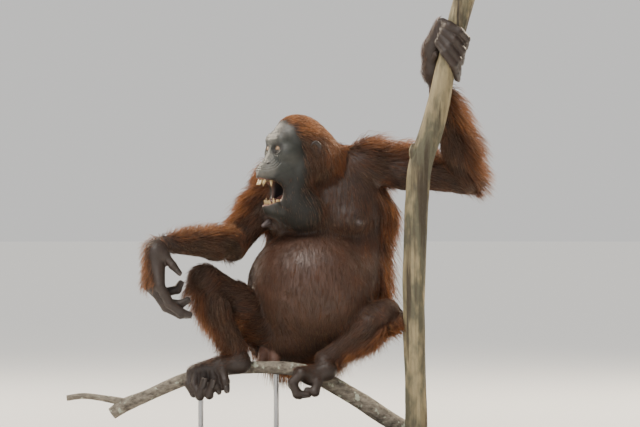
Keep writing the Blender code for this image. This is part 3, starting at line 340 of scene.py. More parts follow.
def stem(name, stations, around, between, relief, look):
    """A round stem of wood, its skin moved in and out by relief(angle, along, radius), with flat ends."""
    rows = smooth_line(stations, between)
    ahead = unit(np.gradient(rows[:, :3], axis=0))
    side = unit(np.cross(ahead, (0.0, 1.0, 0.02)))
    front = unit(np.cross(side, ahead))
    steps = np.sqrt((np.diff(rows[:, :3], axis=0) ** 2).sum(1))
    along = np.concatenate(((0.0,), np.cumsum(steps)))
    turn = np.linspace(0, 2 * math.pi, around, endpoint=False)
    angle, run = np.meshgrid(turn, along)
    radius = rows[:, 3:4] + relief(angle, run, rows[:, 3:4])
    points = rows[:, None, :3] + side[:, None] * (np.cos(angle) * radius)[..., None]
    points = points + front[:, None] * (np.sin(angle) * radius)[..., None]
    bm = bmesh.new()
    rings = [[bm.verts.new(p) for p in ring] for ring in points]
    wall(bm, rings)
    for ring in (rings[0], rings[-1]):
        middle = bm.verts.new(sum((v.co for v in ring), Vector()) / around)
        for k in range(around):
            bm.faces.new((ring[k], ring[(k + 1) % around], middle))
    bmesh.ops.recalc_face_normals(bm, faces=bm.faces)
    return finished(name, bm, look)


def trunk_relief(angle, run, radius):
    """Long furrows and shallow flats, always inwards of the full round."""
    curl = angle + 0.25 * np.sin(run * 5.0)
    ring = np.stack((np.cos(curl), np.sin(curl), run * 0.9), -1).reshape(-1, 3)
    furrows = np.abs(ripple(ring, 0.55, 3)).reshape(angle.shape)
    flats = ripple(ring * (0.5, 0.5, 6.0), 1.3, 4).reshape(angle.shape)
    fine = ripple(ring * (1, 1, 2.2), 0.16, 5).reshape(angle.shape)
    return -0.0030 * np.clip(0.55 - furrows, 0, 1) - 0.0012 * np.clip(flats, -1, 1) - 0.0004 * fine - 0.0010


bark_finish, tree, surface = new_finish("bare_trunk")
streaks = mottled(tree, 22.0, 60.0, (1, 1, 0.07))
blotches = mottled(tree, 13.0, 150.0, (1, 1, 0.45))
apart = ranged(tree, blotches["Patches"], 0.0, 1.0, 0.30, 0.70)
worn = blended(tree, apart, TRUNK_WORN, TRUNK_GREY)
furrows = ranged(tree, streaks["Patches"], 0.0, 1.0, 0.50, 0.24)
streaked = blended(tree, furrows, worn, TRUNK_FURROW)
speckled = blended(tree, ranged(tree, streaks["Grain"], 0.55, 0.0), streaked, TRUNK_FURROW)
feed(surface, {"Base Color": speckled, "Roughness": ranged(tree, blotches["Grain"], 0.62, 0.90)})
bumped(tree, surface, streaks["Relief"], 0.0035, 1.0)
trunk = stem("trunk", TRUNK, 72, 26, trunk_relief, bark_finish)
bm = bmesh.new()
bmesh.ops.create_uvsphere(bm, u_segments=40, v_segments=24, radius=1.0)
for vertex in bm.verts:
    swirl = math.atan2(vertex.co.z, vertex.co.y)
    far = math.hypot(vertex.co.y, vertex.co.z)
    vertex.co *= 1 + 0.05 * math.sin(far * 22) + 0.04 * math.sin(swirl * 5)
bm.transform(Matrix.Translation(TRUNK_KNOT) @ Matrix.Diagonal((0.013, 0.018, 0.026, 1)))
knot = finished("trunk_knot", bm, bark_finish)
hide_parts("perch_trunk")


# The cut branch under her feet, with the thin shoot at its far end: rough grey-brown bark with ring
# scars and specks of pale lichen.
BRANCH = (
    (-0.650, -0.050, 0.113, 0.019),
    (-0.611, -0.050, 0.140, 0.022),
    (-0.537, -0.050, 0.172, 0.019),
    (-0.432, -0.055, 0.217, 0.020),
    (-0.343, -0.060, 0.242, 0.020),
    (-0.238, -0.060, 0.253, 0.020),
    (-0.134, -0.060, 0.250, 0.021),
    (-0.054, -0.060, 0.233, 0.023),
    (0.006, -0.060, 0.203, 0.025),
    (0.089, -0.055, 0.152, 0.026),
    (0.185, -0.045, 0.090, 0.028),
    (0.262, -0.020, 0.042, 0.030),
)
SHOOT = (
    (-0.606, -0.050, 0.146, 0.014),
    (-0.656, -0.050, 0.156, 0.011),
    (-0.731, -0.048, 0.166, 0.010),
    (-0.785, -0.046, 0.160, 0.009),
)
BRANCH_DARK = (0.070, 0.056, 0.044)
BRANCH_LIGHT = (0.330, 0.285, 0.220)
LICHEN = (0.420, 0.430, 0.330)


def branch_relief(angle, run, radius):
    """Lumps, ring scars and cracks."""
    ring = np.stack((np.cos(angle), np.sin(angle), run * 14), -1).reshape(-1, 3)
    lumps = ripple(ring, 1.9, 11).reshape(angle.shape)
    cracks = np.abs(ripple(ring * (1, 1, 0.35), 0.42, 12)).reshape(angle.shape)
    scars = np.clip(np.sin(run * 62 + 1.5 * lumps) - 0.82, 0, 1)
    return radius * (0.045 * lumps + 0.10 * scars - 0.05) - 0.0012 * np.clip(0.5 - cracks, 0, 1)


limb_finish, tree, surface = new_finish("branch_bark")
spread = mottled(tree, 16.0, 90.0, (0.5, 1, 1))
rough = blended(tree, spread["Grain"], BRANCH_DARK, BRANCH_LIGHT)
place = add_node(tree, "ShaderNodeTexCoord").outputs["Object"]
spots = add_node(tree, "ShaderNodeTexNoise", {"Vector": place, "Scale": 55.0, "Detail": 3.0})
pale = ranged(tree, spots.outputs["Fac"], 0.0, 1.0, 0.60, 0.66)
feed(surface, {"Base Color": blended(tree, pale, rough, LICHEN), "Roughness": 0.88})
bumped(tree, surface, spread["Relief"], 0.0020, 0.9)
branch = stem("branch", BRANCH, 48, 16, branch_relief, limb_finish)
shoot = stem("branch_shoot", SHOOT, 28, 16, branch_relief, limb_finish)
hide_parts("perch_branch")


# The skin: one hide over the whole animal, of rounded forms that run into each other. It is thin and
# grey over the face, dark on the hands and feet, and brown under the coat, where it lies deeper.
SHOULDER = {"left": (0.088, 0.030, 0.852), "right": (-0.140, 0.150, 0.813)}
ELBOW = {"left": (0.404, 0.045, 0.806), "right": (-0.284, -0.040, 0.612)}
WRIST = {"left": (0.309, -0.062, 1.115), "right": (-0.484, -0.255, 0.622)}
HIP = {"left": (-0.061, 0.040, 0.335), "right": (-0.185, 0.050, 0.360)}
KNEE = {"left": (0.166, -0.090, 0.415), "right": (-0.366, -0.130, 0.517)}
ANKLE = {"left": (-0.018, -0.085, 0.276), "right": (-0.273, -0.085, 0.299)}
NECK_ROOT = (-0.024, 0.080, 0.845)
EYE_CENTRE = (0.088, 0.028, -0.003)
EYE_RADIUS = 0.0124
# The mouth's hollow is a squarish egg.
MOUTH_AT = (0.124, 0, -0.129)
MOUTH_RADII = (0.080, 0.0285, 0.0375)
MOUTH_SQUARE = 3.5
# How far the skin lies under the outside of the coat.
COAT_DEPTH = {
    "torso": 0.006, "head": 0.004, "arm": 0.006, "leg": 0.006, "palm": 0.002, "sole": 0.001,
    "digit": 0.0002,
}


class Spot:
    """A place on the body with its own forward, left and up, turned from facing -Y towards -X."""

    def __init__(self, at, turn, tip=0.0):
        turn, tip = math.radians(turn), math.radians(tip)
        forward = np.array((-math.sin(turn), -math.cos(turn), 0.0))
        up = np.array((0.0, 0.0, 1.0))
        self.at = np.array(at, float)
        self.left = np.array((math.cos(turn), -math.sin(turn), 0.0))
        self.forward = forward * math.cos(tip) + up * math.sin(tip)
        self.up = up * math.cos(tip) - forward * math.sin(tip)
        self.axes = np.array((self.forward, self.left, self.up))

    def __call__(self, forward, left, up):
        return self.at + np.array((forward, left, up), float) @ self.axes

    def local(self, points):
        return (points - self.at) @ self.axes.T


HEAD = Spot((-0.084, -0.012, 0.904), 60)
MUZZLE = Spot((-0.084, -0.012, 0.904), 60, -24)
CHEST = Spot((-0.020, 0.060, 0.735), 20)
BELLY = Spot((-0.051, 0.030, 0.490), 28)
PELVIS = Spot((-0.125, 0.070, 0.335), 28)


def between(a, b, t):
    return np.array(a, float) * (1 - t) + np.array(b, float) * t


def bead(start, end, first, last, blend=0.02):
    """A tapered round length."""
    return {
        "start": np.array(start, float), "end": np.array(end, float), "radii": (first, last),
        "blend": blend,
    }


def lump(centre, radii, spot=None, blend=0.03):
    """An egg shape."""
    axes = np.eye(3) if spot is None else spot.axes
    return {
        "centre": np.array(centre, float), "radii": np.array(radii, float), "axes": axes, "blend": blend
    }


def chain(points, radii, blend=0.004):
    """Beads end to end, as the bones of a finger."""
    return [bead(a, b, ra, rb, blend) for a, b, ra, rb in zip(points, points[1:], radii, radii[1:])]


def distance(form, points, square=2.0):
    if "start" in form:
        run = form["end"] - form["start"]
        t = np.clip((points - form["start"]) @ run / (run @ run), 0, 1)
        away = points - form["start"] - t[:, None] * run
        first, last = form["radii"]
        return np.sqrt((away * away).sum(1)) - first - t * (last - first)
    local = np.abs((points - form["centre"]) @ form["axes"].T) / form["radii"]
    near = (local ** square).sum(1) ** (1 / square) + 1e-9
    slope = np.sqrt((((local / near[:, None]) ** (square - 1) / form["radii"]) ** 2).sum(1)) + 1e-9
    return (near - 1) / slope


def joined(a, b, blend):
    """The union of two distances, rounded over this width; a negative width cuts b out of a."""
    if blend < 0:
        return -joined(-a, b, -blend)
    share = np.clip(0.5 + 0.5 * (a - b) / blend, 0, 1)
    return a * (1 - share) + b * share - blend * share * (1 - share)


def depth_outside(forms, points):
    """Signed distance to the blended surface of the forms, positive outside."""
    total = np.full(len(points), 1.0)
    for form in forms:
        total = joined(total, distance(form, points), form["blend"])
    return total


def torso_forms():
    c, b, p = CHEST, BELLY, PELVIS
    forms = [
        lump(c(0, 0, 0), (0.125, 0.185, 0.130), c, 0.04),
        lump(c(-0.045, 0, 0.02), (0.10, 0.15, 0.15), c, 0.05),
        lump(b(0.012, 0, 0), (0.165, 0.198, 0.172), b, 0.035),
        lump(b(-0.05, 0, 0.02), (0.13, 0.175, 0.19), b, 0.05),
        bead(c(-0.03, 0.125, -0.03), b(-0.04, 0.145, 0.03), 0.06, 0.055, 0.04),
        bead(c(-0.03, -0.125, -0.03), b(-0.04, -0.135, 0.03), 0.055, 0.05, 0.04),
        lump(p(0, 0, 0), (0.10, 0.135, 0.078), p, 0.05),
    ]
    for side in (-1, 1):
        forms.append(lump(p(-0.055, side * 0.07, -0.012), (0.07, 0.062, 0.062), p, 0.03))
        forms.append(lump(c(0.055, side * 0.095, -0.035), (0.065, 0.075, 0.050), c, 0.02))
    for side in ("left", "right"):
        forms.append(bead(NECK_ROOT, between(NECK_ROOT, SHOULDER[side], 0.85), 0.060, 0.050, 0.04))
    return forms


# The nipples, and the two swollen folds between the thighs.
BARE_FOLDS = (
    bead((0.076, -0.058, 0.693), (0.087, -0.080, 0.684), 0.011, 0.006, 0.012),
    bead((-0.185, -0.021, 0.683), (-0.200, -0.033, 0.674), 0.010, 0.006, 0.012),
    bead((-0.200, 0.010, 0.292), (-0.206, 0.000, 0.262), 0.015, 0.014, 0.010),
    bead((-0.168, 0.012, 0.290), (-0.166, 0.004, 0.250), 0.016, 0.018, 0.012),
)


def arm_forms(side):
    shoulder, elbow, wrist = SHOULDER[side], ELBOW[side], WRIST[side]
    upper = [
        lump(between(shoulder, elbow, 0.06) + (0, 0, 0.004), (0.060, 0.056, 0.058), None, 0.03),
        bead(shoulder, between(shoulder, elbow, 0.45), 0.052, 0.047, 0.03),
        bead(between(shoulder, elbow, 0.45), elbow, 0.047, 0.038, 0.03),
    ]
    fore = [
        bead(elbow, between(elbow, wrist, 0.30), 0.034, 0.040, 0.02),
        bead(between(elbow, wrist, 0.30), between(elbow, wrist, 0.88), 0.040, 0.027, 0.02),
        bead(between(elbow, wrist, 0.86), wrist, 0.027, 0.025, 0.01),
    ]
    return upper, fore


def leg_forms(side):
    hip, knee, ankle = HIP[side], KNEE[side], ANKLE[side]
    thigh = [
        bead(hip, between(hip, knee, 0.5), 0.073, 0.060, 0.03),
        bead(between(hip, knee, 0.5), knee, 0.060, 0.046, 0.03),
    ]
    shin = [
        bead(knee, between(knee, ankle, 0.35), 0.040, 0.040, 0.02),
        bead(between(knee, ankle, 0.35), between(knee, ankle, 0.88), 0.040, 0.027, 0.02),
        bead(between(knee, ankle, 0.85), ankle, 0.027, 0.028, 0.015),
    ]
    return thigh, shin


def head_forms():
    h = HEAD
    forms = [
        lump(h(0.011, 0, 0.028), (0.083, 0.069, 0.074), h, 0.03),
        lump(h(-0.035, 0, -0.005), (0.060, 0.062, 0.062), h, 0.03),
        lump(h(0.070, 0, -0.018), (0.044, 0.054, 0.047), h, 0.025),
        bead(h(0.086, -0.030, 0.026), h(0.086, 0.030, 0.026), 0.019, 0.019, 0.02),
        # The muzzle slants down and forward to the upper lip.
        lump(h(0.100, 0, -0.056), (0.050, 0.041, 0.029), MUZZLE, 0.022),
        lump(h(0.117, 0, -0.064), (0.033, 0.038, 0.0225), MUZZLE, 0.014),
        bead(h(0.091, 0, -0.008), h(0.114, 0, -0.036), 0.008, 0.0095, 0.012),
        # The lower jaw, dropped open.
        lump(h(0.082, 0, -0.184), (0.046, 0.040, 0.024), h, 0.02),
        lump(h(0.030, 0, -0.165), (0.060, 0.055, 0.050), h, 0.03),
    ]
    for side in (-1, 1):
        forms.append(lump(h(0.062, side * 0.046, -0.014), (0.036, 0.024, 0.028), h, 0.02))
        forms.append(lump(h(0.114, side * 0.010, -0.041), (0.009, 0.009, 0.008), h, 0.008))
        forms.append(lump(h(0.046, side * 0.040, -0.100), (0.040, 0.024, 0.074), h, 0.02))
        forms.append(bead(h(0.015, side * 0.052, -0.05), h(0.055, side * 0.040, -0.160), 0.026, 0.026))
        # The cheek behind the corner of the mouth, and the edges of the lips.
        forms.append(lump(h(0.082, side * 0.034, -0.078), (0.032, 0.018, 0.030), h, 0.02))
        forms.append(bead(h(0.114, side * 0.031, -0.085), h(0.144, 0, -0.085), 0.0085, 0.0075, 0.012))
        forms.append(bead(h(0.102, side * 0.031, -0.168), h(0.122, 0, -0.173), 0.0080, 0.0080, 0.012))
    # The throat pouch and the neck.
    forms.append(lump(h(-0.005, 0.01, -0.185), (0.075, 0.085, 0.070), h, 0.04))
    forms.append(bead((-0.024, 0.08, 0.835), h(-0.03, 0, -0.03), 0.085, 0.075, 0.05))
    return forms


FINGER_BONES = {
    "index": (0.060, 0.042, 0.024),
    "middle": (0.066, 0.046, 0.025),
    "ring": (0.064, 0.044, 0.024),
    "little": (0.052, 0.036, 0.021),
}
FINGER_RADII = (0.0150, 0.0140, 0.0128, 0.0095)
THUMB_RADII = (0.0130, 0.0120, 0.0082)
TOE_RADII = (0.0145, 0.0138, 0.0125, 0.0090)
BIG_TOE_RADII = (0.0145, 0.0135, 0.0095)


def right_hand():
    """The palm and digits of the hand that hangs over the knee, its fingers curling back towards her."""
    wrist = np.array(WRIST["right"])
    knuckles = {
        "index": (-0.493, -0.296, 0.502),
        "middle": (-0.512, -0.280, 0.494),
        "ring": (-0.524, -0.258, 0.497),
        "little": (-0.526, -0.234, 0.507),
    }
    bends = {
        "index": ((0.48, 0.02, -0.88), (0.80, 0.04, -0.60), (0.96, 0.05, -0.26)),
        "middle": ((0.55, 0.02, -0.83), (0.88, 0.05, -0.45), (0.99, 0.05, -0.08)),
        "ring": ((0.70, 0.05, -0.72), (0.95, 0.08, -0.10), (0.85, 0.10, 0.50)),
        "little": ((0.85, 0.05, -0.50), (0.90, 0.10, 0.20), (0.45, 0.10, 0.90)),
    }
    root = wrist + (-0.020, -0.010, -0.022)
    palm = [bead(wrist, root, 0.024, 0.027, 0.01)]
    digits = {}
    for finger, knuckle in knuckles.items():
        palm.append(bead(root, knuckle, 0.026, 0.0175, 0.016))
        line = [np.array(knuckle)]
        for way, bone in zip(bends[finger], FINGER_BONES[finger]):
            line.append(line[-1] + unit(np.array(way)) * bone)
        digits[finger] = line
    thumb = root + (0.026, -0.014, -0.012)
    palm.append(bead(root, thumb, 0.024, 0.017, 0.014))
    digits["thumb"] = [thumb, thumb + (0.022, -0.006, -0.028), thumb + (0.041, -0.004, -0.050)]
    return palm, digits


def round_trunk(height, angle, out):
    """A point this far off the trunk's side, the angle in degrees going from +X round by -Y."""
    rows = smooth_line(TRUNK, 4)
    x, y, radius = (np.interp(height, rows[:, 2], rows[:, axis]) for axis in (0, 1, 3))
    turn, reach = math.radians(angle), radius + out
    return np.array((x + math.cos(turn) * reach, y - math.sin(turn) * reach, height))


def left_hand():
    """The palm and digits of the hand on the trunk: knuckles on its far side, fingers round its front."""
    wrist = np.array(WRIST["left"])
    sweeps = {
        "index": (1.232, 188, 152, 112, 64, -6, 0.122),
        "middle": (1.248, 184, 145, 102, 50, -12, 0.124),
        "ring": (1.262, 178, 136, 90, 38, -14, 0.104),
        "little": (1.273, 170, 124, 78, 30, -8, 0.070),
    }
    root = wrist + (-0.002, -0.008, 0.018)
    palm, digits = [bead(wrist, root, 0.024, 0.025, 0.012)], {}
    for finger, (height, *angles, drop) in sweeps.items():
        knuckle = round_trunk(height, angles[0], 0.017)
        middle = between(root, knuckle, 0.5) + (-0.014, 0.0, 0.0)
        palm.append(bead(root, middle, 0.026, 0.022, 0.014))
        palm.append(bead(middle, knuckle, 0.022, 0.0165, 0.014))
        shares = [i / (len(angles) - 1) for i in range(len(angles))]
        digits[finger] = [
            round_trunk(height - drop * t ** 1.35, turn, 0.0135 - 0.004 * t)
            for turn, t in zip(angles, shares)
        ]
    thumb = wrist + (-0.012, -0.020, 0.032)
    palm.append(bead(wrist, thumb, 0.025, 0.017, 0.012))
    digits["thumb"] = [thumb, round_trunk(1.166, 196, 0.016), round_trunk(1.180, 166, 0.012)]
    return palm, digits


# Each foot is half closed over the front of the branch: a knuckle and three further joints for each
# toe, the fifth first. The left foot is a round fist about its own middle.
RIGHT_TOES = {
    5: ((-0.410, -0.098, 0.240), (-0.418, -0.110, 0.206), (-0.402, -0.128, 0.180), (-0.384, -0.140, 0.200)),
    4: ((-0.392, -0.108, 0.248), (-0.400, -0.126, 0.205), (-0.384, -0.145, 0.172), (-0.370, -0.152, 0.220)),
    3: ((-0.372, -0.114, 0.252), (-0.372, -0.136, 0.206), (-0.356, -0.152, 0.176), (-0.345, -0.158, 0.216)),
    2: ((-0.352, -0.112, 0.256), (-0.342, -0.136, 0.224), (-0.334, -0.148, 0.200), (-0.328, -0.146, 0.186)),
    1: ((-0.318, -0.130, 0.246), (-0.309, -0.148, 0.216), (-0.304, -0.152, 0.190)),
}
FIST_AT, FIST_RADIUS = (-0.074, 0.205), 0.037


def on_fist(turn, y, radius=FIST_RADIUS):
    """A point on the left foot's fist, the turn going from +X up and over."""
    turn = math.radians(turn)
    return np.array((FIST_AT[0] + radius * math.cos(turn), y, FIST_AT[1] + radius * math.sin(turn)))


def foot(side):
    ankle = np.array(ANKLE[side])
    if side == "right":
        heel, middle = np.array((-0.264, -0.098, 0.266)), np.array((-0.322, -0.104, 0.258))
        toes = {number: [np.array(p) for p in line] for number, line in RIGHT_TOES.items()}
    else:
        heel, middle = np.array((-0.010, -0.104, 0.246)), on_fist(55, -0.114, 0.032)
        toes = {1: [on_fist(12, -0.132, 0.036), on_fist(-36, -0.142, 0.036), on_fist(-68, -0.146, 0.016)]}
        for number, y in {2: -0.152, 3: -0.134, 4: -0.116, 5: -0.100}.items():
            lean = 5 * (number - 2)
            toes[number] = [
                on_fist(108 + lean, y),
                on_fist(168 + lean, y - 0.002, 0.037),
                on_fist(228 + lean, y - 0.004, 0.036),
                on_fist(285 + lean, y - 0.004, 0.028),
            ]
    sole = [bead(ankle, heel, 0.028, 0.028, 0.012), bead(heel, middle, 0.029, 0.028, 0.012)]
    for number, line in toes.items():
        start = middle if number > 1 else between(heel, middle, 0.7)
        sole.append(bead(start, line[0], 0.024, 0.0185 if number == 1 else 0.0175, 0.012))
    return sole, toes


def body_groups():
    """Every group of forms: its kind, the forms, and how softly it runs into the rest."""
    groups = {"torso": ("torso", torso_forms(), 0.02), "head": ("head", head_forms(), 0.014)}
    digits = {}
    for side in ("left", "right"):
        upper, fore = arm_forms(side)
        thigh, shin = leg_forms(side)
        groups[f"upper_arm_{side}"] = ("arm", upper, 0.030)
        groups[f"forearm_{side}"] = ("arm", fore, 0.016)
        groups[f"thigh_{side}"] = ("leg", thigh, 0.016)
        groups[f"shin_{side}"] = ("leg", shin, 0.012)
        palm, fingers = left_hand() if side == "left" else right_hand()
        sole, toes = foot(side)
        groups[f"hand_{side}"] = ("palm", palm, 0.012)
        groups[f"foot_{side}"] = ("sole", sole, 0.010)
        for finger, line in fingers.items():
            radii = THUMB_RADII if finger == "thumb" else FINGER_RADII
            if len(line) == 5:
                radii = (0.0150, 0.0145, 0.0138, 0.0125, 0.0095)
            digits[f"{finger}_{side}"] = (line, radii)
        for number, line in toes.items():
            digits[f"toe_{number}_{side}"] = (line, BIG_TOE_RADII if number == 1 else TOE_RADII)
    for name, (line, radii) in digits.items():
        groups[name] = ("digit", chain(line, radii), 0.003)
    return groups, digits


GROUPS, DIGITS = body_groups()


def reach_of(forms):
    """The box round some forms."""
    low, high = [], []
    for form in forms:
        if "start" in form:
            for end, radius in zip((form["start"], form["end"]), form["radii"]):
                low.append(end - radius)
                high.append(end + radius)
        else:
            low.append(form["centre"] - form["radii"].max())
            high.append(form["centre"] + form["radii"].max())
    return np.min(low, 0), np.max(high, 0)


BOXES = {name: reach_of(forms) for name, (kind, forms, blend) in GROUPS.items()}


def close_to(name, points, margin):
    """Which points lie in a group's box or within the margin of it."""
    low, high = BOXES[name]
    return ((points > low - margin) & (points < high + margin)).all(1)


def smooth_step(low, high, value):
    t = np.clip((value - low) / (high - low), 0, 1)
    return t * t * (3 - 2 * t)


def bare_face(points):
    """How bare the head's skin is, from 0 under the hair to 1 on the face."""
    f, s, u = HEAD.local(points).T
    edge = 0.042 + 0.035 * np.clip((u - 0.01) / 0.065, 0, 1) ** 1.5
    return smooth_step(-0.012, 0.006, f - edge) * smooth_step(0.092, 0.078, u)


def coat_depth(kind, points):
    deep = COAT_DEPTH[kind]
    if kind == "head":
        f, s, u = HEAD.local(points).T
        return deep * smooth_step(0.060, -0.020, f)
    if kind == "torso":
        front = smooth_step(-0.05, 0.08, (points - CHEST.at) @ CHEST.forward)
        return deep * (1 - 0.6 * front)
    return deep


# Each nostril is a slanting slit that opens forwards and outwards.
NOSTRILS = [
    bead(
        HEAD(f - 0.007, side * (across - 0.012), u), HEAD(f + 0.008, side * (across + 0.014), u - 0.001),
        radius, radius,
    )
    for side in (-1, 1)
    for f, across, u, radius in ((0.120, 0.010, -0.0475, 0.0032), (0.1145, 0.0135, -0.0452, 0.0026))
]


def mouth_depth(points):
    return distance(lump(HEAD(*MOUTH_AT), MOUTH_RADII, HEAD), points, MOUTH_SQUARE)


def face_cuts(points, total):
    """Opens the mouth and the nostrils, sinks the eyes and lays the lids over them."""
    h = HEAD
    forward, across, up = EYE_CENTRE
    for side in (-1, 1):
        total = joined(
            total, distance(lump(h(0.092, side * 0.029, -0.028), (0.011, 0.018, 0.008), h), points), 0.008
        )
        socket = lump(h(forward + 0.030, side * across, up), (0.0225, 0.0185, 0.0150), h)
        total = joined(total, distance(socket, points), -0.006)
        ball = h(forward, side * across, up)
        total = joined(total, np.sqrt(((points - ball) ** 2).sum(1)) - EYE_RADIUS - 0.0019, 0.0025)
        slit = lump(h(forward + 0.011, side * across, up - 0.0068), (0.0125, 0.0112, 0.0040), h)
        total = joined(total, distance(slit, points), -0.0012)
        # The rolled rim of each nostril and its opening, slanting down and outwards.
        wing = chain(
            [
                h(0.121, side * 0.0065, -0.0355), h(0.1175, side * 0.0165, -0.0390),
                h(0.1195, side * 0.0195, -0.0490),
            ],
            [0.0050, 0.0056, 0.0042],
        )
        for rim in wing:
            total = joined(total, distance(rim, points), 0.005)
    for nostril in NOSTRILS:
        total = joined(total, distance(nostril, points), -0.0025)
    # The groove between the nostrils.
    groove = bead(h(0.130, 0, -0.054), h(0.127, 0, -0.036), 0.0012, 0.0018)
    total = joined(total, distance(groove, points), -0.003)
    return joined(total, mouth_depth(points), -0.006)


def skin_depth(points, fine=True):
    """Signed distance to the skin; without 'fine' the digits and the face's cuts are left out."""
    total = np.full(len(points), 1.0)
    for name, (kind, forms, blend) in GROUPS.items():
        if kind == "digit" and not fine:
            continue
        close = close_to(name, points, 0.06)
        if close.any():
            at = points[close]
            total[close] = joined(total[close], depth_outside(forms, at) + coat_depth(kind, at), blend)
    if fine:
        for fold in BARE_FOLDS:
            total = joined(total, distance(fold, points), fold["blend"])
        close = close_to("head", points, 0.02)
        if close.any():
            total[close] = face_cuts(points[close], total[close])
        navel = distance(lump(BELLY(0.176, 0.0, -0.02), (0.007, 0.009, 0.007), BELLY), points)
        total = joined(total, navel, -0.008)
    return total


def with_slope(depth, points, step):
    """A field's value and the direction in which it grows."""
    here = depth(points)
    slope = [(depth(points + np.eye(3)[axis] * step) - here) / step for axis in range(3)]
    return here, np.stack(slope, 1)


def way_out(points, fine=True, step=0.0006):
    """Distance to the skin and the direction away from it."""
    return with_slope(lambda at: skin_depth(at, fine), points, step)


def rounded(form, bm, detail=3):
    """A form's own closed surface."""
    if "centre" in form:
        turn = Matrix(form["axes"].T.tolist()).to_4x4()
        where = Matrix.Translation(form["centre"]) @ turn @ Matrix.Diagonal((*form["radii"], 1))
        bmesh.ops.create_icosphere(bm, subdivisions=detail, radius=1.0, matrix=where)
        return
    hull = bmesh.new()
    for end, radius in zip((form["start"], form["end"]), form["radii"]):
        bmesh.ops.create_icosphere(hull, subdivisions=2, radius=radius, matrix=Matrix.Translation(end))
    bmesh.ops.delete(hull, geom=hull.edges, context="EDGES_FACES")
    bmesh.ops.convex_hull(hull, input=hull.verts)
    bmesh.ops.delete(hull, geom=[v for v in hull.verts if not v.link_faces], context="VERTS")
    mesh = mesh_of(hull, "hull")
    bm.from_mesh(mesh)
    bpy.data.meshes.remove(mesh)


def remeshed(mesh, voxel, cutter=None):
    """The mesh made anew as one even net, after an optional cut."""
    thing = put(bpy.data.objects.new("raw", mesh))
    if cutter is not None:
        even = thing.modifiers.new("first net", "REMESH")
        even.mode, even.voxel_size = "VOXEL", voxel
        cut = thing.modifiers.new("cut", "BOOLEAN")
        cut.operation, cut.solver, cut.object = "DIFFERENCE", "MANIFOLD", cutter
    net = thing.modifiers.new("net", "REMESH")
    net.mode, net.voxel_size = "VOXEL", voxel
    made = bpy.data.meshes.new_from_object(thing.evaluated_get(bpy.context.evaluated_depsgraph_get()))
    bpy.data.objects.remove(thing)
    return made


def corners_of(mesh):
    out = np.empty(len(mesh.vertices) * 3)
    mesh.vertices.foreach_get("co", out)
    return out.reshape(-1, 3)


def place_corners(mesh, points):
    mesh.vertices.foreach_set("co", points.ravel())
    mesh.update()


def settle(mesh, step, rounds, field, smooth=0.5):
    """Moves each vertex onto the field's surface, evening out the net on the way."""
    for turn in range(rounds):
        if smooth and turn < rounds - 1:
            bm = bmesh.new()
            bm.from_mesh(mesh)
            bmesh.ops.smooth_vert(
                bm, verts=bm.verts, factor=smooth, use_axis_x=True, use_axis_y=True, use_axis_z=True
            )
            bm.to_mesh(mesh)
            bm.free()
        points = corners_of(mesh)
        here, slope = field(points)
        steep = np.maximum((slope * slope).sum(1), 0.25)
        place_corners(mesh, points - slope * np.clip(here / steep, -step, step)[:, None])


def halve(mesh, wanted):
    """Splits every face in two each way where wanted(face centres) holds."""
    bm = bmesh.new()
    bm.from_mesh(mesh)
    middles = np.array([f.calc_center_median() for f in bm.faces])
    pick = wanted(middles)
    edges = {e for face, yes in zip(bm.faces, pick) if yes for e in face.edges}
    bmesh.ops.subdivide_edges(bm, edges=list(edges), cuts=1, use_grid_fill=True)
    bm.to_mesh(mesh)
    bm.free()


def on_face(points):
    f, s, u = HEAD.local(points).T
    return (f > 0.03) & (np.abs(s) < 0.08) & (u > -0.215) & (u < 0.085)


def on_features(points):
    """The eyes, nose and lips."""
    f, s, u = HEAD.local(points).T
    eyes = (f > 0.075) & (np.abs(s) < 0.052) & (u > -0.066) & (u < 0.020)
    lips = (
        (f > 0.07) & (np.abs(s) < 0.045) & (((u > -0.105) & (u < -0.066)) | ((u > -0.190) & (u < -0.155)))
    )
    return eyes | lips


def on_digits(points):
    fine = np.zeros(len(points), bool)
    for name, (kind, forms, blend) in GROUPS.items():
        if kind in ("digit", "palm", "sole"):
            fine |= close_to(name, points, 0.0)
    for fold in BARE_FOLDS:
        fine |= distance(fold, points) < 0.012
    return fine


bm = bmesh.new()
for kind, forms, blend in GROUPS.values():
    for form in forms:
        rounded(form, bm)
for fold in BARE_FOLDS:
    rounded(fold, bm)
raw = mesh_of(bm, "raw_body")
bm = bmesh.new()
bmesh.ops.create_icosphere(bm, subdivisions=4, radius=1.0)
for vertex in bm.verts:
    vertex.co /= sum(abs(value) ** MOUTH_SQUARE for value in vertex.co) ** (1 / MOUTH_SQUARE)
turn = Matrix(HEAD.axes.T.tolist()).to_4x4()
bm.transform(Matrix.Translation(HEAD(*MOUTH_AT)) @ turn @ Matrix.Diagonal((*MOUTH_RADII, 1)))
hollow = put(bpy.data.objects.new("mouth_hollow", mesh_of(bm, "mouth_hollow")))
bpy.context.view_layer.update()
SKIN_NET = 0.0056
skin_mesh = remeshed(raw, SKIN_NET, hollow)
bpy.data.objects.remove(hollow)
settle(skin_mesh, SKIN_NET, 4, way_out)
halve(skin_mesh, lambda at: on_face(at) | on_digits(at))
settle(skin_mesh, SKIN_NET / 2, 2, way_out, 0.3)
halve(skin_mesh, on_features)
settle(skin_mesh, SKIN_NET / 4, 2, way_out, 0.2)
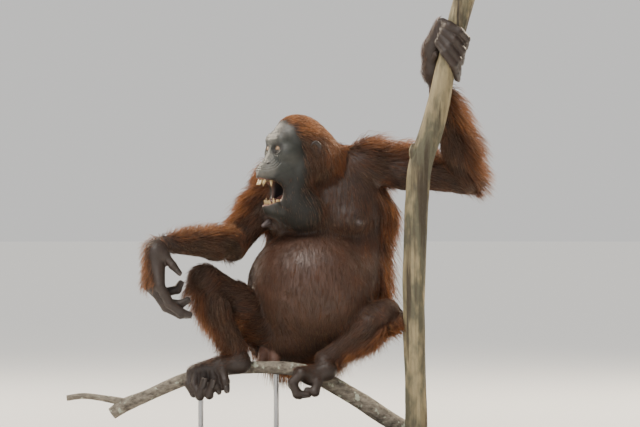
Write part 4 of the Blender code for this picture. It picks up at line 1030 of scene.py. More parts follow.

# Brow and muzzle are painted highlights; socket, throat and mouth are painted shade.
SKIN_TONES = {
    "face": (0.050, 0.051, 0.042),
    "muzzle": (0.155, 0.146, 0.124),
    "brow": (0.165, 0.154, 0.136),
    "lid": (0.380, 0.240, 0.140),
    "socket": (0.026, 0.022, 0.018),
    "lip": (0.260, 0.150, 0.105),
    "throat": (0.013, 0.011, 0.007),
    "mouth": (0.012, 0.006, 0.005),
    "cheek inside": (0.300, 0.150, 0.105),
    "hand": (0.046, 0.029, 0.021),
    "belly": (0.100, 0.050, 0.033),
    "chest": (0.046, 0.027, 0.021),
    "nipple": (0.110, 0.082, 0.078),
    "fold": (0.250, 0.130, 0.090),
    "under coat": (0.040, 0.016, 0.009),
}


def kind_shares(points):
    """How much each vertex belongs to each kind of form, adding up to one."""
    shares = {}
    for name, (kind, forms, blend) in GROUPS.items():
        close = close_to(name, points, 0.05)
        if close.any():
            far = depth_outside(forms, points[close])
            share = shares.setdefault(kind, np.zeros(len(points)))
            share[close] = np.maximum(
                share[close],
                np.exp(-np.maximum(far, 0) / 0.006 * 0.7) * np.exp(-np.maximum(far, 0) / 0.02),
            )
    total = sum(shares.values()) + 1e-9
    return {kind: share / total for kind, share in shares.items()}


def near_to(points, spot, radii, soft=0.5):
    """1 inside an egg in the head's directions, fading to 0 outside it."""
    far = np.sqrt((((HEAD.local(points) - spot) / radii) ** 2).sum(1))
    return smooth_step(1 + soft, 1 - soft * 0.4, far)


def skin_paint(points, normals):
    """The hide's colours, with painted highlights and painted shade, laid one over another."""
    shares = kind_shares(points)
    f, s, u = HEAD.local(points).T
    head = shares["head"]
    torso = shares["torso"] * smooth_step(-0.05, 0.45, normals @ between(CHEST.forward, BELLY.forward, 0.5))
    throat = smooth_step(-0.07, -0.12, u) * smooth_step(-0.08, -0.02, f)
    face = bare_face(points) * head * smooth_step(-0.108, -0.048, u)
    layers = [
        ("belly", torso),
        ("chest", torso * smooth_step(0.60, 0.70, points[:, 2])),
        # Painted shade: nearly black over the throat and jaw, and under the edges of the bare face.
        ("throat", head * np.maximum(smooth_step(-0.02, 0.03, f), throat)),
        ("face", face * (0.35 + 0.65 * smooth_step(0.035, 0.085, f))),
        ("face", 0.45 * near_to(points, (0.105, 0.0, -0.185), (0.035, 0.04, 0.028))),
        # Painted highlights on the muzzle, the ridge of the nose and the brow.
        ("muzzle", 0.95 * near_to(points, (0.128, 0.0, -0.060), (0.030, 0.045, 0.026))),
        ("muzzle", 0.5 * near_to(points, (0.118, 0.0, -0.030), (0.020, 0.024, 0.020))),
        ("brow", 0.85 * near_to(points, (0.086, 0.0, 0.052), (0.030, 0.048, 0.026), 0.8)),
    ]
    # Painted shade inside each nostril.
    layers += [
        ("socket", 0.95 * smooth_step(0.0022, 0.0, distance(nostril, points))) for nostril in NOSTRILS
    ]
    forward, across, up = EYE_CENTRE
    # Painted shade in the hollow round each eye and in the slit under each lid.
    for side in (-1, 1):
        hollow = near_to(points, (0.096, side * 0.028, 0.0), (0.018, 0.024, 0.017), 0.35)
        lid = near_to(points, (forward, side * across, up + 0.0016), (0.0160, 0.0140, 0.0135), 0.12)
        under = near_to(points, (forward + 0.01, side * across, -0.0120), (0.014, 0.0150, 0.0080), 0.3)
        layers += [("socket", 0.85 * hollow * head), ("lid", lid), ("socket", under)]
    edge = np.abs(mouth_depth(points))
    # Behind the lips the cheek is dark pink, and further in the hollow painted shade makes it nearly black.
    to_middle = (MOUTH_AT - HEAD.local(points)) / np.square(MOUTH_RADII)
    inwards = (HEAD.local(normals + HEAD.at) * to_middle).sum(1)
    inner = (inwards > 8.0) * smooth_step(0.009, 0.005, edge) * (f > 0.03)
    layers += [
        ("lip", 0.65 * np.exp(-edge / 0.0045) * smooth_step(0.05, 0.08, f)),
        ("cheek inside", inner),
        ("mouth", inner * smooth_step(0.090, 0.074, f)),
        ("hand", np.clip(shares["palm"] + shares["sole"] + shares["digit"], 0, 1)),
    ]
    for index, fold in enumerate(BARE_FOLDS):
        layers.append(
            ("nipple" if index < 2 else "fold", smooth_step(0.008, 0.001, distance(fold, points)))
        )
    colour = np.tile(SKIN_TONES["under coat"], (len(points), 1))
    for tone, share in layers:
        colour = colour * (1 - share[:, None]) + np.array(SKIN_TONES[tone]) * share[:, None]
    uneven = 1 + 0.10 * ripple(points, 0.055, 21) + 0.07 * ripple(points, 0.017, 22)
    return np.clip(colour * np.clip(uneven, 0.6, 1.5)[:, None], 0.002, 0.9)


def normals_of(mesh):
    out = np.empty(len(mesh.vertices) * 3)
    mesh.vertices.foreach_get("normal", out)
    return out.reshape(-1, 3)


def wrinkle(mesh):
    """Low folds round the muzzle and under the eyes, and creases across the joints of the digits."""
    points, normals = corners_of(mesh), normals_of(mesh)
    f, s, u = HEAD.local(points).T
    lift = np.zeros(len(points))
    ring = np.sqrt((f - 0.122) ** 2 + (s * 0.9) ** 2 + (u + 0.030) ** 2)
    where = (
        smooth_step(0.018, 0.026, ring) * smooth_step(0.056, 0.044, ring) * smooth_step(-0.075, -0.062, u)
        * smooth_step(-0.018, -0.026, u)
    )
    lift += 0.0010 * np.sin(ring * 2 * math.pi / 0.0072 + 1.2 * ripple(points, 0.03, 31)) * where
    for side in (-1, 1):
        ring = np.sqrt((f - 0.090) ** 2 + (s - side * 0.028) ** 2 + (u - 0.001) ** 2)
        where = (
            smooth_step(0.0165, 0.020, ring) * smooth_step(0.034, 0.026, ring)
            * smooth_step(0.000, -0.012, u)
        )
        lift += 0.0009 * np.sin(ring * 2 * math.pi / 0.0058) * where
    brow = (
        smooth_step(0.026, 0.034, u) * smooth_step(0.070, 0.056, u) * smooth_step(0.05, 0.03, np.abs(s))
        * (f > 0.05)
    )
    lift += 0.0007 * np.sin(u * 2 * math.pi / 0.0085 + 0.8 * ripple(points, 0.04, 32)) * brow
    for name, (line, radii) in DIGITS.items():
        for joint, before, after, radius in zip(line[1:-1], line, line[2:], radii[1:]):
            gap = points - joint
            close = (gap * gap).sum(1) < (radius * 1.9) ** 2
            if close.any():
                along = gap[close] @ unit(after - before)
                fade = smooth_step(radius * 0.75, radius * 0.25, np.abs(along))
                lift[close] += 0.0006 * np.sin(along * 2 * math.pi / 0.0050) * fade
    place_corners(mesh, points + normals * lift[:, None])


wrinkle(skin_mesh)


def painted(mesh, colours):
    """Stores a colour at each vertex, under the name that the materials read."""
    layer = mesh.color_attributes.new("paint", "FLOAT_COLOR", "POINT")
    layer.data.foreach_set(
        "color", np.column_stack((colours, np.ones(len(colours)))).astype(np.float32).ravel()
    )


def paint_of(tree):
    return add_node(tree, "ShaderNodeAttribute", attribute_name="paint").outputs["Color"]


def darkened(tree, share, colour, by):
    """A colour made darker where the share is high."""
    keep = ranged(tree, share, 1.0, 1.0 - by)
    made = add_node(tree, "ShaderNodeVectorMath", {0: colour, 3: keep}, operation="SCALE")
    return made.outputs[0]


def painted_finish(name, scales, shade, by, rough, bump=None, rest=()):
    """A material of the stored paint, darkened by one share of the mottle and dulled by the other."""
    made, tree, surface = new_finish(name)
    marks = mottled(tree, *scales)
    other = "Grain" if shade == "Patches" else "Patches"
    colour = darkened(tree, marks[shade], paint_of(tree), by)
    feed(surface, {"Base Color": colour, "Roughness": ranged(tree, marks[other], *rough), **dict(rest)})
    if bump:
        bumped(tree, surface, marks["Relief"], *bump)
    return made


painted(skin_mesh, skin_paint(corners_of(skin_mesh), normals_of(skin_mesh)))
SOFT_SKIN = {"Subsurface Weight": 0.06, "Subsurface Radius": (0.006, 0.003, 0.002), "Subsurface Scale": 1.0}
hide = painted_finish("hide", (38.0, 420.0), "Grain", 0.30, (0.33, 0.48), (0.0007, 0.7), SOFT_SKIN)
# The nearly black painted shade of the throat is dull; the greyer face, palms and soles are worn smooth.
tree = hide.node_tree
surface = tree.nodes["Principled BSDF"]
worn = surface.inputs["Roughness"].links[0].from_socket
dull = ranged(tree, paint_of(tree), 0.24, 0.0, 0.014, 0.040)
feed(
    surface,
    {"Roughness": add_node(tree, "ShaderNodeMath", {0: dull, 1: worn}, operation="ADD").outputs[0]},
)


def shown(name, mesh, look):
    """An object from a finished mesh, riding on the model's one body."""
    mesh.materials.clear()
    mesh.materials.append(look)
    mesh.polygons.foreach_set("use_smooth", np.ones(len(mesh.polygons), bool))
    mesh.name = name
    thing = put(bpy.data.objects.new(name, mesh))
    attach(thing, "root")
    return thing


skin = shown("skin", skin_mesh, hide)
FLESH_NODES = ["chest", "belly", "neck", "head", "jaw"]
for side in ("left", "right"):
    FLESH_NODES += [
        f"{limb}_{side}"
        for limb in ("upper_arm", "forearm", "hand", "thumb", "thigh", "shin", "foot", "big_toe")
    ]
    FLESH_NODES += [f"finger_{finger}_{side}" for finger in FINGER_BONES]
    FLESH_NODES += [f"toe_{number}_{side}" for number in (2, 3, 4, 5)]
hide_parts(*FLESH_NODES)


# The ears: small and dark, a rolled rim round a hollow, set flat against the sides of the head, with
# painted shade where they lie deep.
EAR_AT = (-0.003, 0.0745, 0.000)
EAR_TONE = (0.052, 0.038, 0.032)
EAR_NET = 0.0013


def ear_forms(side):
    """A rim, the plate inside it, its inner fold, the lobe and the small flap before its opening."""
    def spot(turn, wide, tall, out):
        turn = math.radians(turn)
        return HEAD(
            EAR_AT[0] + wide * math.cos(turn), side * (EAR_AT[1] + out), EAR_AT[2] + tall * math.sin(turn)
        )

    def stand(turn):
        return 0.0035 - 0.0050 * math.cos(math.radians(turn))

    rim = [spot(turn, 0.0142, 0.0205, stand(turn)) for turn in range(10, 291, 20)]
    forms = chain(rim, [0.0026] * len(rim), 0.0015)
    fold = [spot(turn, 0.0078, 0.0125, stand(turn) - 0.0015) for turn in range(50, 251, 25)]
    forms += chain(fold, [0.0019] * len(fold), 0.003)
    for turn in range(20, 300, 20):
        forms.append(
            bead(
                spot(turn, 0.0060, 0.0090, -0.0050), spot(turn, 0.0132, 0.0192, stand(turn) - 0.001),
                0.0017, 0.0017, 0.004,
            )
        )
    forms.append(
        bead(spot(285, 0.0090, 0.0170, 0.0), spot(265, 0.0070, 0.0215, 0.0015), 0.0042, 0.0036, 0.004)
    )
    forms.append(
        bead(spot(-10, 0.0100, 0.0040, 0.001), spot(15, 0.0095, 0.0040, -0.001), 0.0028, 0.0024, 0.003)
    )
    forms.append(bead(spot(0, 0.0, 0.0, -0.020), spot(0, 0.0, 0.0, -0.0085), 0.0105, 0.0085, 0.004))
    return forms


def grown(forms, net, finish=None):
    """The blended surface of some forms as one mesh."""
    bm = bmesh.new()
    for form in forms:
        rounded(form, bm, 2)
    mesh = remeshed(mesh_of(bm, "grown"), net)

    def depth(at):
        far = depth_outside(forms, at)
        return far if finish is None else finish(at, far)

    settle(mesh, net, 3, lambda points: with_slope(depth, points, net * 0.1), 0.4)
    return mesh


for side, name in ((1, "left"), (-1, "right")):
    mesh = grown(ear_forms(side), EAR_NET)
    points = corners_of(mesh)
    # Painted shade: the ear is darker where it lies deeper, towards the head.
    deep = smooth_step(0.002, -0.005, (HEAD.local(points)[:, 1] * side) - EAR_AT[1])
    tone = (
        np.array(EAR_TONE) * (1.15 - 0.75 * deep[:, None])
        * (1 + 0.10 * ripple(points, 0.012, 41)[:, None])
    )
    painted(mesh, np.clip(tone, 0.005, 1))
    ear = shown(f"ear_{name}_shell", mesh, hide)
    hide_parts(f"ear_{name}")


# The eyes: wet dark balls, each with a brown iris and a black pupil, turned down under heavy lids.
EYE_WHITE = (0.095, 0.060, 0.045)
IRIS = (0.115, 0.048, 0.016)
IRIS_RIM = (0.020, 0.010, 0.006)
GAZE = unit(HEAD.forward * 0.94 - HEAD.up * 0.30 - HEAD.left * 0.05)

WET = {"Coat Weight": 1.0, "Coat Roughness": 0.02}
eye_finish = painted_finish("wet_eye", (260.0, 900.0), "Patches", 0.25, (0.06, 0.14), None, WET)
for side, name in ((1, "left"), (-1, "right")):
    bm = bmesh.new()
    bmesh.ops.create_uvsphere(bm, u_segments=64, v_segments=48, radius=EYE_RADIUS)
    turned = Vector(GAZE).to_track_quat("Z", "Y").to_matrix().to_4x4()
    colours = []
    for vertex in bm.verts:
        angle = math.degrees(vertex.co.angle(Vector((0, 0, 1))))
        bulge = 0.0011 * max(0.0, 1 - (angle / 30) ** 2)
        vertex.co *= 1 + bulge / EYE_RADIUS
        spoke = 0.75 + 0.25 * math.sin(math.atan2(vertex.co.y, vertex.co.x) * 23)
        if angle < 8:
            colours.append((0.002, 0.002, 0.002))
        elif angle < 27:
            colours.append(tuple(value * spoke for value in (IRIS if angle < 22 else IRIS_RIM)))
        else:
            colours.append(EYE_WHITE)
    forward, across, up = EYE_CENTRE
    bm.transform(Matrix.Translation(HEAD(forward, side * across, up)) @ turned)
    ball = finished(f"eyeball_{name}", bm, eye_finish)
    painted(ball.data, np.array(colours))
    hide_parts(f"eye_{name}")


# The teeth: worn yellow crowns standing in dark wet gums, broad incisors in front, a pointed canine
# on each side with a space before it, and two cheek teeth behind.
UPPER_TEETH = (
    ((0.136, 0.0062, -0.088), (0.150, 0.0060, -0.1085), 0.0112, 0.0090, "incisor"),
    ((0.132, 0.0160, -0.088), (0.142, 0.0158, -0.1060), 0.0090, 0.0080, "incisor"),
    ((0.119, 0.0225, -0.089), (0.118, 0.0235, -0.1130), 0.0100, 0.0095, "canine"),
    ((0.104, 0.0222, -0.087), (0.104, 0.0218, -0.0985), 0.0095, 0.0100, "cheek"),
    ((0.091, 0.0225, -0.087), (0.091, 0.0220, -0.0975), 0.0110, 0.0105, "cheek"),
)
LOWER_TEETH = (
    ((0.116, 0.0047, -0.170), (0.126, 0.0047, -0.1545), 0.0088, 0.0085, "incisor"),
    ((0.113, 0.0136, -0.170), (0.122, 0.0136, -0.1545), 0.0088, 0.0085, "incisor"),
    ((0.106, 0.0205, -0.170), (0.110, 0.0215, -0.1470), 0.0095, 0.0095, "canine"),
    ((0.095, 0.0225, -0.169), (0.095, 0.0225, -0.1510), 0.0105, 0.0105, "cheek"),
    ((0.083, 0.0230, -0.169), (0.083, 0.0230, -0.1500), 0.0120, 0.0110, "cheek"),
)
# Each kind of crown from gum to edge: height share, width share, thickness share.
CROWNS = {
    "incisor": (
        (0, 0.74, 0.86), (0.2, 0.88, 1.0), (0.5, 1.0, 0.86), (0.75, 1.02, 0.60), (0.92, 0.98, 0.36),
        (1.0, 0.86, 0.20),
    ),
    "canine": (
        (0, 0.86, 0.92), (0.2, 1.0, 1.0), (0.45, 0.86, 0.86), (0.7, 0.60, 0.58), (0.9, 0.32, 0.30),
        (1.0, 0.12, 0.12),
    ),
    "cheek": (
        (0, 0.80, 0.84), (0.3, 1.0, 1.0), (0.65, 1.0, 0.98), (0.85, 0.90, 0.82), (0.97, 0.66, 0.56),
        (0.92, 0.34, 0.26),
    ),
}
ENAMEL = (0.640, 0.470, 0.220)
STAIN = (0.230, 0.105, 0.035)
GUM = (0.110, 0.042, 0.034)


def crown(bm, root, tip, wide, thick, along, kind, seed):
    """One tooth, lofted from rounded outlines; returns the colour of each of its vertices."""
    rng = np.random.default_rng(seed)
    root, tip = np.array(root), np.array(tip)
    up = unit(tip - root)
    out = unit(np.cross(along, up))
    side = np.cross(up, out)
    colours, rings = [], []
    lean = rng.uniform(-0.0007, 0.0007, 2)
    for high, wide_share, thick_share in CROWNS[kind]:
        ring = []
        for k in range(20):
            turn = 2 * math.pi * k / 20
            c, s = math.cos(turn), math.sin(turn)
            c, s = math.copysign(abs(c) ** 0.8, c), math.copysign(abs(s) ** 0.8, s)
            notch = 1 + 0.05 * math.cos(turn * 4 + seed) * high
            spot = (
                between(root, tip, high) + side * c * wide * wide_share / 2 * notch
                + out * s * thick * thick_share / 2
            )
            ring.append(bm.verts.new(spot + side * lean[0] * high + out * lean[1] * high))
            dirt = (
                max(0.0, 1 - high / 0.45) * 0.75 + 0.25 * max(0.0, math.sin(turn * 3 + seed * 1.7))
                + 0.3 * (high > 0.9)
            )
            colours.append(
                np.array(ENAMEL) * (1 - min(dirt, 1) * 0.8) + np.array(STAIN) * min(dirt, 1) * 0.8
            )
        rings.append(ring)
    wall(bm, rings)
    bm.faces.new(rings[0][::-1])
    bm.faces.new(rings[-1])
    return colours


WORN_GLOSS = {"Coat Weight": 0.4, "Coat Roughness": 0.12}
MOIST = {"Coat Weight": 0.5, "Coat Roughness": 0.15}
enamel_finish = painted_finish(
    "worn_enamel", (190.0, 700.0), "Patches", 0.35, (0.22, 0.42), (0.00025, 0.6), WORN_GLOSS
)
wet_flesh = painted_finish("wet_flesh", (120.0, 520.0), "Grain", 0.45, (0.22, 0.38), (0.0006, 0.8), MOIST)

for row, teeth, node in (("upper", UPPER_TEETH, "teeth_upper"), ("lower", LOWER_TEETH, "teeth_lower")):
    bm, colours = bmesh.new(), []
    for side in (-1, 1):
        for index, (root, tip, wide, thick, kind) in enumerate(teeth):
            ahead, behind = teeth[max(index - 1, 0)][0], teeth[min(index + 1, len(teeth) - 1)][0]
            along = HEAD(ahead[0], side * ahead[1], 0) - HEAD(behind[0], side * behind[1], 0)
            if index == 0:
                along = HEAD.left
            seed = index + 10 * side + (100 if row == "upper" else 200)
            colours += crown(
                bm, HEAD(root[0], side * root[1], root[2]), HEAD(tip[0], side * tip[1], tip[2]), wide,
                thick, along, kind, seed,
            )
    bmesh.ops.recalc_face_normals(bm, faces=bm.faces)
    crowns = finished(f"{row}_crowns", bm, enamel_finish)
    painted(crowns.data, np.array(colours))
    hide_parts(node)
    sides = [[HEAD(r[0] - 0.001, s * r[1], r[2]) for r, *_ in teeth] for s in (-1, 1)]
    line = sides[0][::-1] + sides[1]
    forms = chain(line, [0.0064] * len(line), 0.006)
    for point in line:
        forms.append(lump(point, (0.0056, 0.0056, 0.0062), None, 0.003))
    mesh = grown(forms, 0.0016)
    painted(
        mesh,
        np.tile(GUM, (len(mesh.vertices), 1)) * (1 + 0.15 * ripple(corners_of(mesh), 0.010, 51)[:, None]),
    )
    gum = shown(f"{row}_gum", mesh, wet_flesh)


# The tongue: thick, wet and dull pink-brown, lying on the floor of the mouth behind the lower teeth.
TONGUE_TONE = (0.190, 0.078, 0.066)


def tongue_groove(points, far):
    groove = bead(HEAD(0.050, 0, -0.1365), HEAD(0.112, 0, -0.1475), 0.0018, 0.0010)
    return joined(far, distance(groove, points), -0.006)


tongue_forms = [
    lump(HEAD(0.080, 0, -0.158), (0.034, 0.0168, 0.0108), HEAD, 0.01),
    lump(HEAD(0.060, 0, -0.150), (0.020, 0.0195, 0.0138), HEAD, 0.01),
]
mesh = grown(tongue_forms, 0.0018, tongue_groove)
painted(
    mesh,
    np.tile(TONGUE_TONE, (len(mesh.vertices), 1)) * (
        1 + 0.12 * ripple(corners_of(mesh), 0.012, 52)[:, None]
    ),
)
tongue = shown("tongue_body", mesh, wet_flesh)
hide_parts("tongue")


# The nails: short dark curved plates on the back of every digit's tip.
NAIL_TONE = (0.070, 0.052, 0.044)
nail_finish = painted_finish("dark_nail", (150.0, 800.0), "Grain", 0.35, (0.26, 0.40), (0.0002, 0.6))


def nail(bm, line, radii):
    """A plate bent round the back of the last bone, its free edge just past the fingertip."""
    last, tip = line[-2], line[-1]
    along = unit(tip - last)
    curl = unit(line[-2] - line[-3]) - along
    back = unit(curl - along * (curl @ along)) if (curl @ curl) > 1e-6 else np.array((0.0, 0.0, 1.0))
    side = np.cross(along, back)
    length = np.sqrt((tip - last) @ (tip - last))
    shades, tops, unders = [], [], []
    rows, across = 9, 11
    for i in range(rows):
        share = i / (rows - 1)
        run = length * 0.52 + share * (length * 0.48 + radii[-1] * 0.98)
        base = radii[-2] + (radii[-1] - radii[-2]) * min(1.0, run / length)
        over = max(0.0, run - length)
        round_off = math.sqrt(max(0.08, 1 - (over / (radii[-1] * 1.25)) ** 2))
        half = 58 - 16 * max(0.0, abs(share - 0.45) * 2 - 0.5)
        top, under = [], []
        for j in range(across):
            turn = math.radians(half * (2 * j / (across - 1) - 1))
            edge = abs(2 * j / (across - 1) - 1)
            reach = (
                base * (0.35 + 0.65 * round_off) + 0.0009 - 0.0007 * edge ** 3
                - (0.0012 if share == 0 else 0)
            )
            way = back * math.cos(turn) + side * math.sin(turn)
            spot = last + along * (run - 0.0022 * edge ** 2) + way * reach
            top.append(bm.verts.new(spot))
            under.append(bm.verts.new(spot - way * 0.0009))
        shades += [np.array(NAIL_TONE) * (0.75 + 0.9 * share ** 3)] * (2 * across)
        tops.append(top)
        unders.append(under)
    for sheet, flip in ((tops, False), (unders, True)):
        for low, high in zip(sheet, sheet[1:]):
            for j in range(across - 1):
                quad = (low[j], low[j + 1], high[j + 1], high[j])
                bm.faces.new(quad[::-1] if flip else quad)
    edge_line, under_line = (
        sheet[0] + [row[-1] for row in sheet[1:]] + sheet[-1][-2::-1] + [row[0] for row in sheet[-2:0:-1]]
        for sheet in (tops, unders)
    )
    for k in range(len(edge_line)):
        n = (k + 1) % len(edge_line)
        bm.faces.new((edge_line[n], edge_line[k], under_line[k], under_line[n]))
    return shades


bm, shades = bmesh.new(), []
for name, (line, radii) in DIGITS.items():
    shades += nail(bm, line, radii)
bmesh.ops.recalc_face_normals(bm, faces=bm.faces)
nails = finished("nails", bm, nail_finish)
painted(nails.data, np.array(shades))


# The coat: coarse red-brown hair over everything but the face, palms, soles and digits. It is long and
# loose, in pointed locks, on the back, the outer arms and the flanks, and short, flat and thin in front.
DOWN = np.array((0.0, 0.0, -1.0))
# For each stretch of limb: the way its hair lies, its long-haired side, the lengths on the short and
# on the long side, how far the hair stands off on each, and how warm its tips are, partly the coat's
# own red and partly a painted glow of light through the ends.
LIMB_COAT = {
    "upper_arm_left": ((0.80, 0.04, -0.22), (0.10, 0.72, 0.70), (0.030, 0.095), (0.12, 1.05), 1.0),
    "forearm_left": ((0.25, 0.20, -0.90), (0.95, 0.35, 0.05), (0.036, 0.092), (0.14, 1.05), 1.0),
    "upper_arm_right": ((-0.50, -0.60, -0.68), (-0.80, 0.35, 0.50), (0.035, 0.072), (0.12, 0.65), 0.9),
    "forearm_right": ((0.75, 0.62, -0.22), (-0.25, 0.35, 0.90), (0.040, 0.055), (0.12, 0.80), 1.0),
    "thigh_left": ((0.80, -0.45, 0.10), (0.35, 0.40, -0.85), (0.024, 0.075), (0.08, 0.50), 0.7),
    "shin_left": ((-0.75, 0.02, -0.62), (0.45, 0.35, -0.80), (0.024, 0.065), (0.09, 0.50), 0.7),
    "thigh_right": ((-0.62, -0.60, 0.10), (-0.10, 0.30, -0.95), (0.030, 0.095), (0.10, 0.65), 0.9),
    "shin_right": ((0.22, 0.15, -0.95), (-0.95, 0.30, 0.00), (0.046, 0.082), (0.24, 0.58), 0.7),
    "hand_left": ((0.05, 0.10, 0.95), (-0.95, 0.25, 0.10), (0.000, 0.024), (0.10, 0.24), 0.3),
    "hand_right": ((-0.15, -0.10, -0.98), (-0.95, 0.10, 0.20), (0.005, 0.036), (0.10, 0.50), 1.0),
    "foot_left": ((-0.85, -0.10, -0.30), (0.30, -0.20, 0.90), (0.000, 0.016), (0.10, 0.20), 0.2),
    "foot_right": ((-0.90, -0.10, -0.20), (0.10, -0.10, 0.98), (0.000, 0.018), (0.10, 0.20), 0.3),
}
# The hair's colours; the orange of the tips is partly the coat's own and partly a painted glow of light
# through the ends.
HAIR_DARK = (0.024, 0.011, 0.007)
HAIR_BROWN = (0.080, 0.034, 0.018)
HAIR_RED = (0.230, 0.068, 0.020)
HAIR_ORANGE = (0.680, 0.265, 0.080)
# Painted sheen: the pale grey-brown that some tips are mixed towards.
HAIR_SHEEN_PAINT = (0.200, 0.140, 0.110)


def combing(points, normals):
    """The hair at each root: lie, length, rise, warmth with its painted glow, and density, blended between
    the stretches.
    """
    fields = {key: np.zeros(len(points)) for key in ("length", "rise", "warmth_and_glow", "dense", "total")}
    lies = np.zeros((len(points), 3))

    def add(share, lie, length, rise, warmth_and_glow, dense):
        nonlocal lies
        lies += share[:, None] * lie
        for key, value in (
            ("length", length), ("rise", rise), ("warmth_and_glow", warmth_and_glow), ("dense", dense), ("total", 1.0)
        ):
            fields[key] += share * value

    for name, (kind, forms, blend) in GROUPS.items():
        if kind == "digit":
            continue
        close = close_to(name, points, 0.05)
        share = np.zeros(len(points))
        share[close] = np.exp(
            -np.maximum(depth_outside(forms, points[close]) + coat_depth(kind, points[close]), 0) / 0.012
        )
        share[share < 0.004] = 0
        if name in LIMB_COAT:
            lie, outer, lengths, rises, warmth_and_glow = LIMB_COAT[name]
            out = smooth_step(-0.15, 0.90, normals @ unit(np.array(outer)))
            lie = unit(np.array(lie)) * np.ones((len(points), 1))
            length = lengths[0] + (lengths[1] - lengths[0]) * out
            rise = rises[0] + (rises[1] - rises[0]) * out
            if kind in ("palm", "sole"):
                add(share, lie, length, rise, warmth_and_glow * out, smooth_step(0.35, 0.6, out) * 0.6)
            else:
                add(share, lie, length, rise, warmth_and_glow * (0.08 + 0.92 * out ** 1.2), 0.75 + 0.25 * out)
        elif name == "torso":
            out = smooth_step(-0.30, 0.50, -(normals @ between(CHEST.forward, BELLY.forward, 0.5)))
            lie = DOWN + normals * (1, 1, 0) * 0.15
            length = 0.034 + 0.081 * out
            add(share, lie, length, 0.04 + 0.46 * out ** 1.5, 0.20 + 0.72 * out, 0.40 + 0.60 * out)
        elif name == "head":
            f, s, u = HEAD.local(points).T
            way = unit(points - HEAD(0.0, 0.0, 0.01))
            top = smooth_step(-0.1, 0.75, way @ HEAD.up)
            crown_lie = -HEAD.forward * (0.25 + 0.95 * top[:, None]) - HEAD.up * (1.15 - 1.0 * top[:, None])
            crown_lie = crown_lie + HEAD.left * (np.sign(s) * 0.10 * (1 - top))[:, None]
            throat = smooth_step(-0.080, -0.135, u) * smooth_step(-0.07, 0.0, f)
            cheek = smooth_step(-0.03, 0.02, f) * (1 - throat) * smooth_step(0.02, -0.03, u)
            length = 0.052 - 0.020 * top - 0.004 * cheek - 0.022 * throat
            length += 0.022 * smooth_step(0.0, -0.05, f) * (1 - top)
            bare = bare_face(points)
            low_face = smooth_step(-0.060, -0.130, u)
            thin = smooth_step(0.030, -0.050, f - 0.042 - 0.035 * np.clip((u - 0.01) / 0.065, 0, 1) ** 1.5)
            thin = np.maximum(thin, 0.85 * top * (1 - bare))
            low = smooth_step(-0.040, -0.095, u) * smooth_step(-0.110, -0.030, f)
            dense = (
                thin * (1 - bare) * (1 - 0.55 * cheek) * (1 - 0.78 * throat) * (1 - 0.50 * low)
                + 0.06 * bare * low_face
            )
            # Lighter on the crown as a painted highlight from above, darker low down as painted shade.
            warmth_and_glow = (
                0.12 + 0.86 * top + 0.42 * smooth_step(-0.015, -0.075, f) * (1 - top) - 0.10 * cheek
                - 0.20 * low
            )
            add(
                share, crown_lie, length * (0.35 + 0.65 * thin), 0.10 + 0.12 * (1 - top),
                np.maximum(warmth_and_glow, 0.0), dense,
            )
    total = fields["total"] + 1e-9
    return (
        unit(lies + 1e-9), fields["length"] / total, fields["rise"] / total, fields["warmth_and_glow"] / total,
        fields["dense"] / total,
    )


def roots_on(mesh, count, wanted, rng):
    """Random roots over the skin, as thick as the coat is there."""
    mesh.calc_loop_triangles()
    corners = np.empty(len(mesh.loop_triangles) * 3, np.int32)
    mesh.loop_triangles.foreach_get("vertices", corners)
    tri = corners_of(mesh)[corners.reshape(-1, 3)]
    cross = np.cross(tri[:, 1] - tri[:, 0], tri[:, 2] - tri[:, 0])
    area = np.sqrt((cross * cross).sum(1)) / 2
    middles, normals = tri.mean(1), unit(cross)
    pick = np.flatnonzero(wanted(middles, normals))
    dense = combing(middles[pick], normals[pick])[4] * (area[pick] > 1e-9)
    dense *= bald(middles[pick])
    weight = area[pick] * dense
    chosen = pick[rng.choice(len(pick), count, p=weight / weight.sum())]
    a, b = rng.random(count), rng.random(count)
    a, b = np.where(a + b > 1, 1 - a, a), np.where(a + b > 1, 1 - b, b)
    t = tri[chosen]
    return t[:, 0] + (t[:, 1] - t[:, 0]) * a[:, None] + (t[:, 2] - t[:, 0]) * b[:, None], normals[chosen]


def bald(points):
    """0 on the digits, nipples and folds and round the mouth, 1 elsewhere."""
    keep = np.ones(len(points))
    for name, (kind, forms, blend) in GROUPS.items():
        if kind == "digit":
            close = close_to(name, points, 0.01)
            if close.any():
                keep[close] *= smooth_step(0.001, 0.005, depth_outside(forms, points[close]))
    for fold in BARE_FOLDS:
        keep *= smooth_step(0.004, 0.010, distance(fold, points))
    inside = (mouth_depth(points) < 0.012) & (HEAD.local(points)[:, 0] > 0.02)
    return keep * ~inside


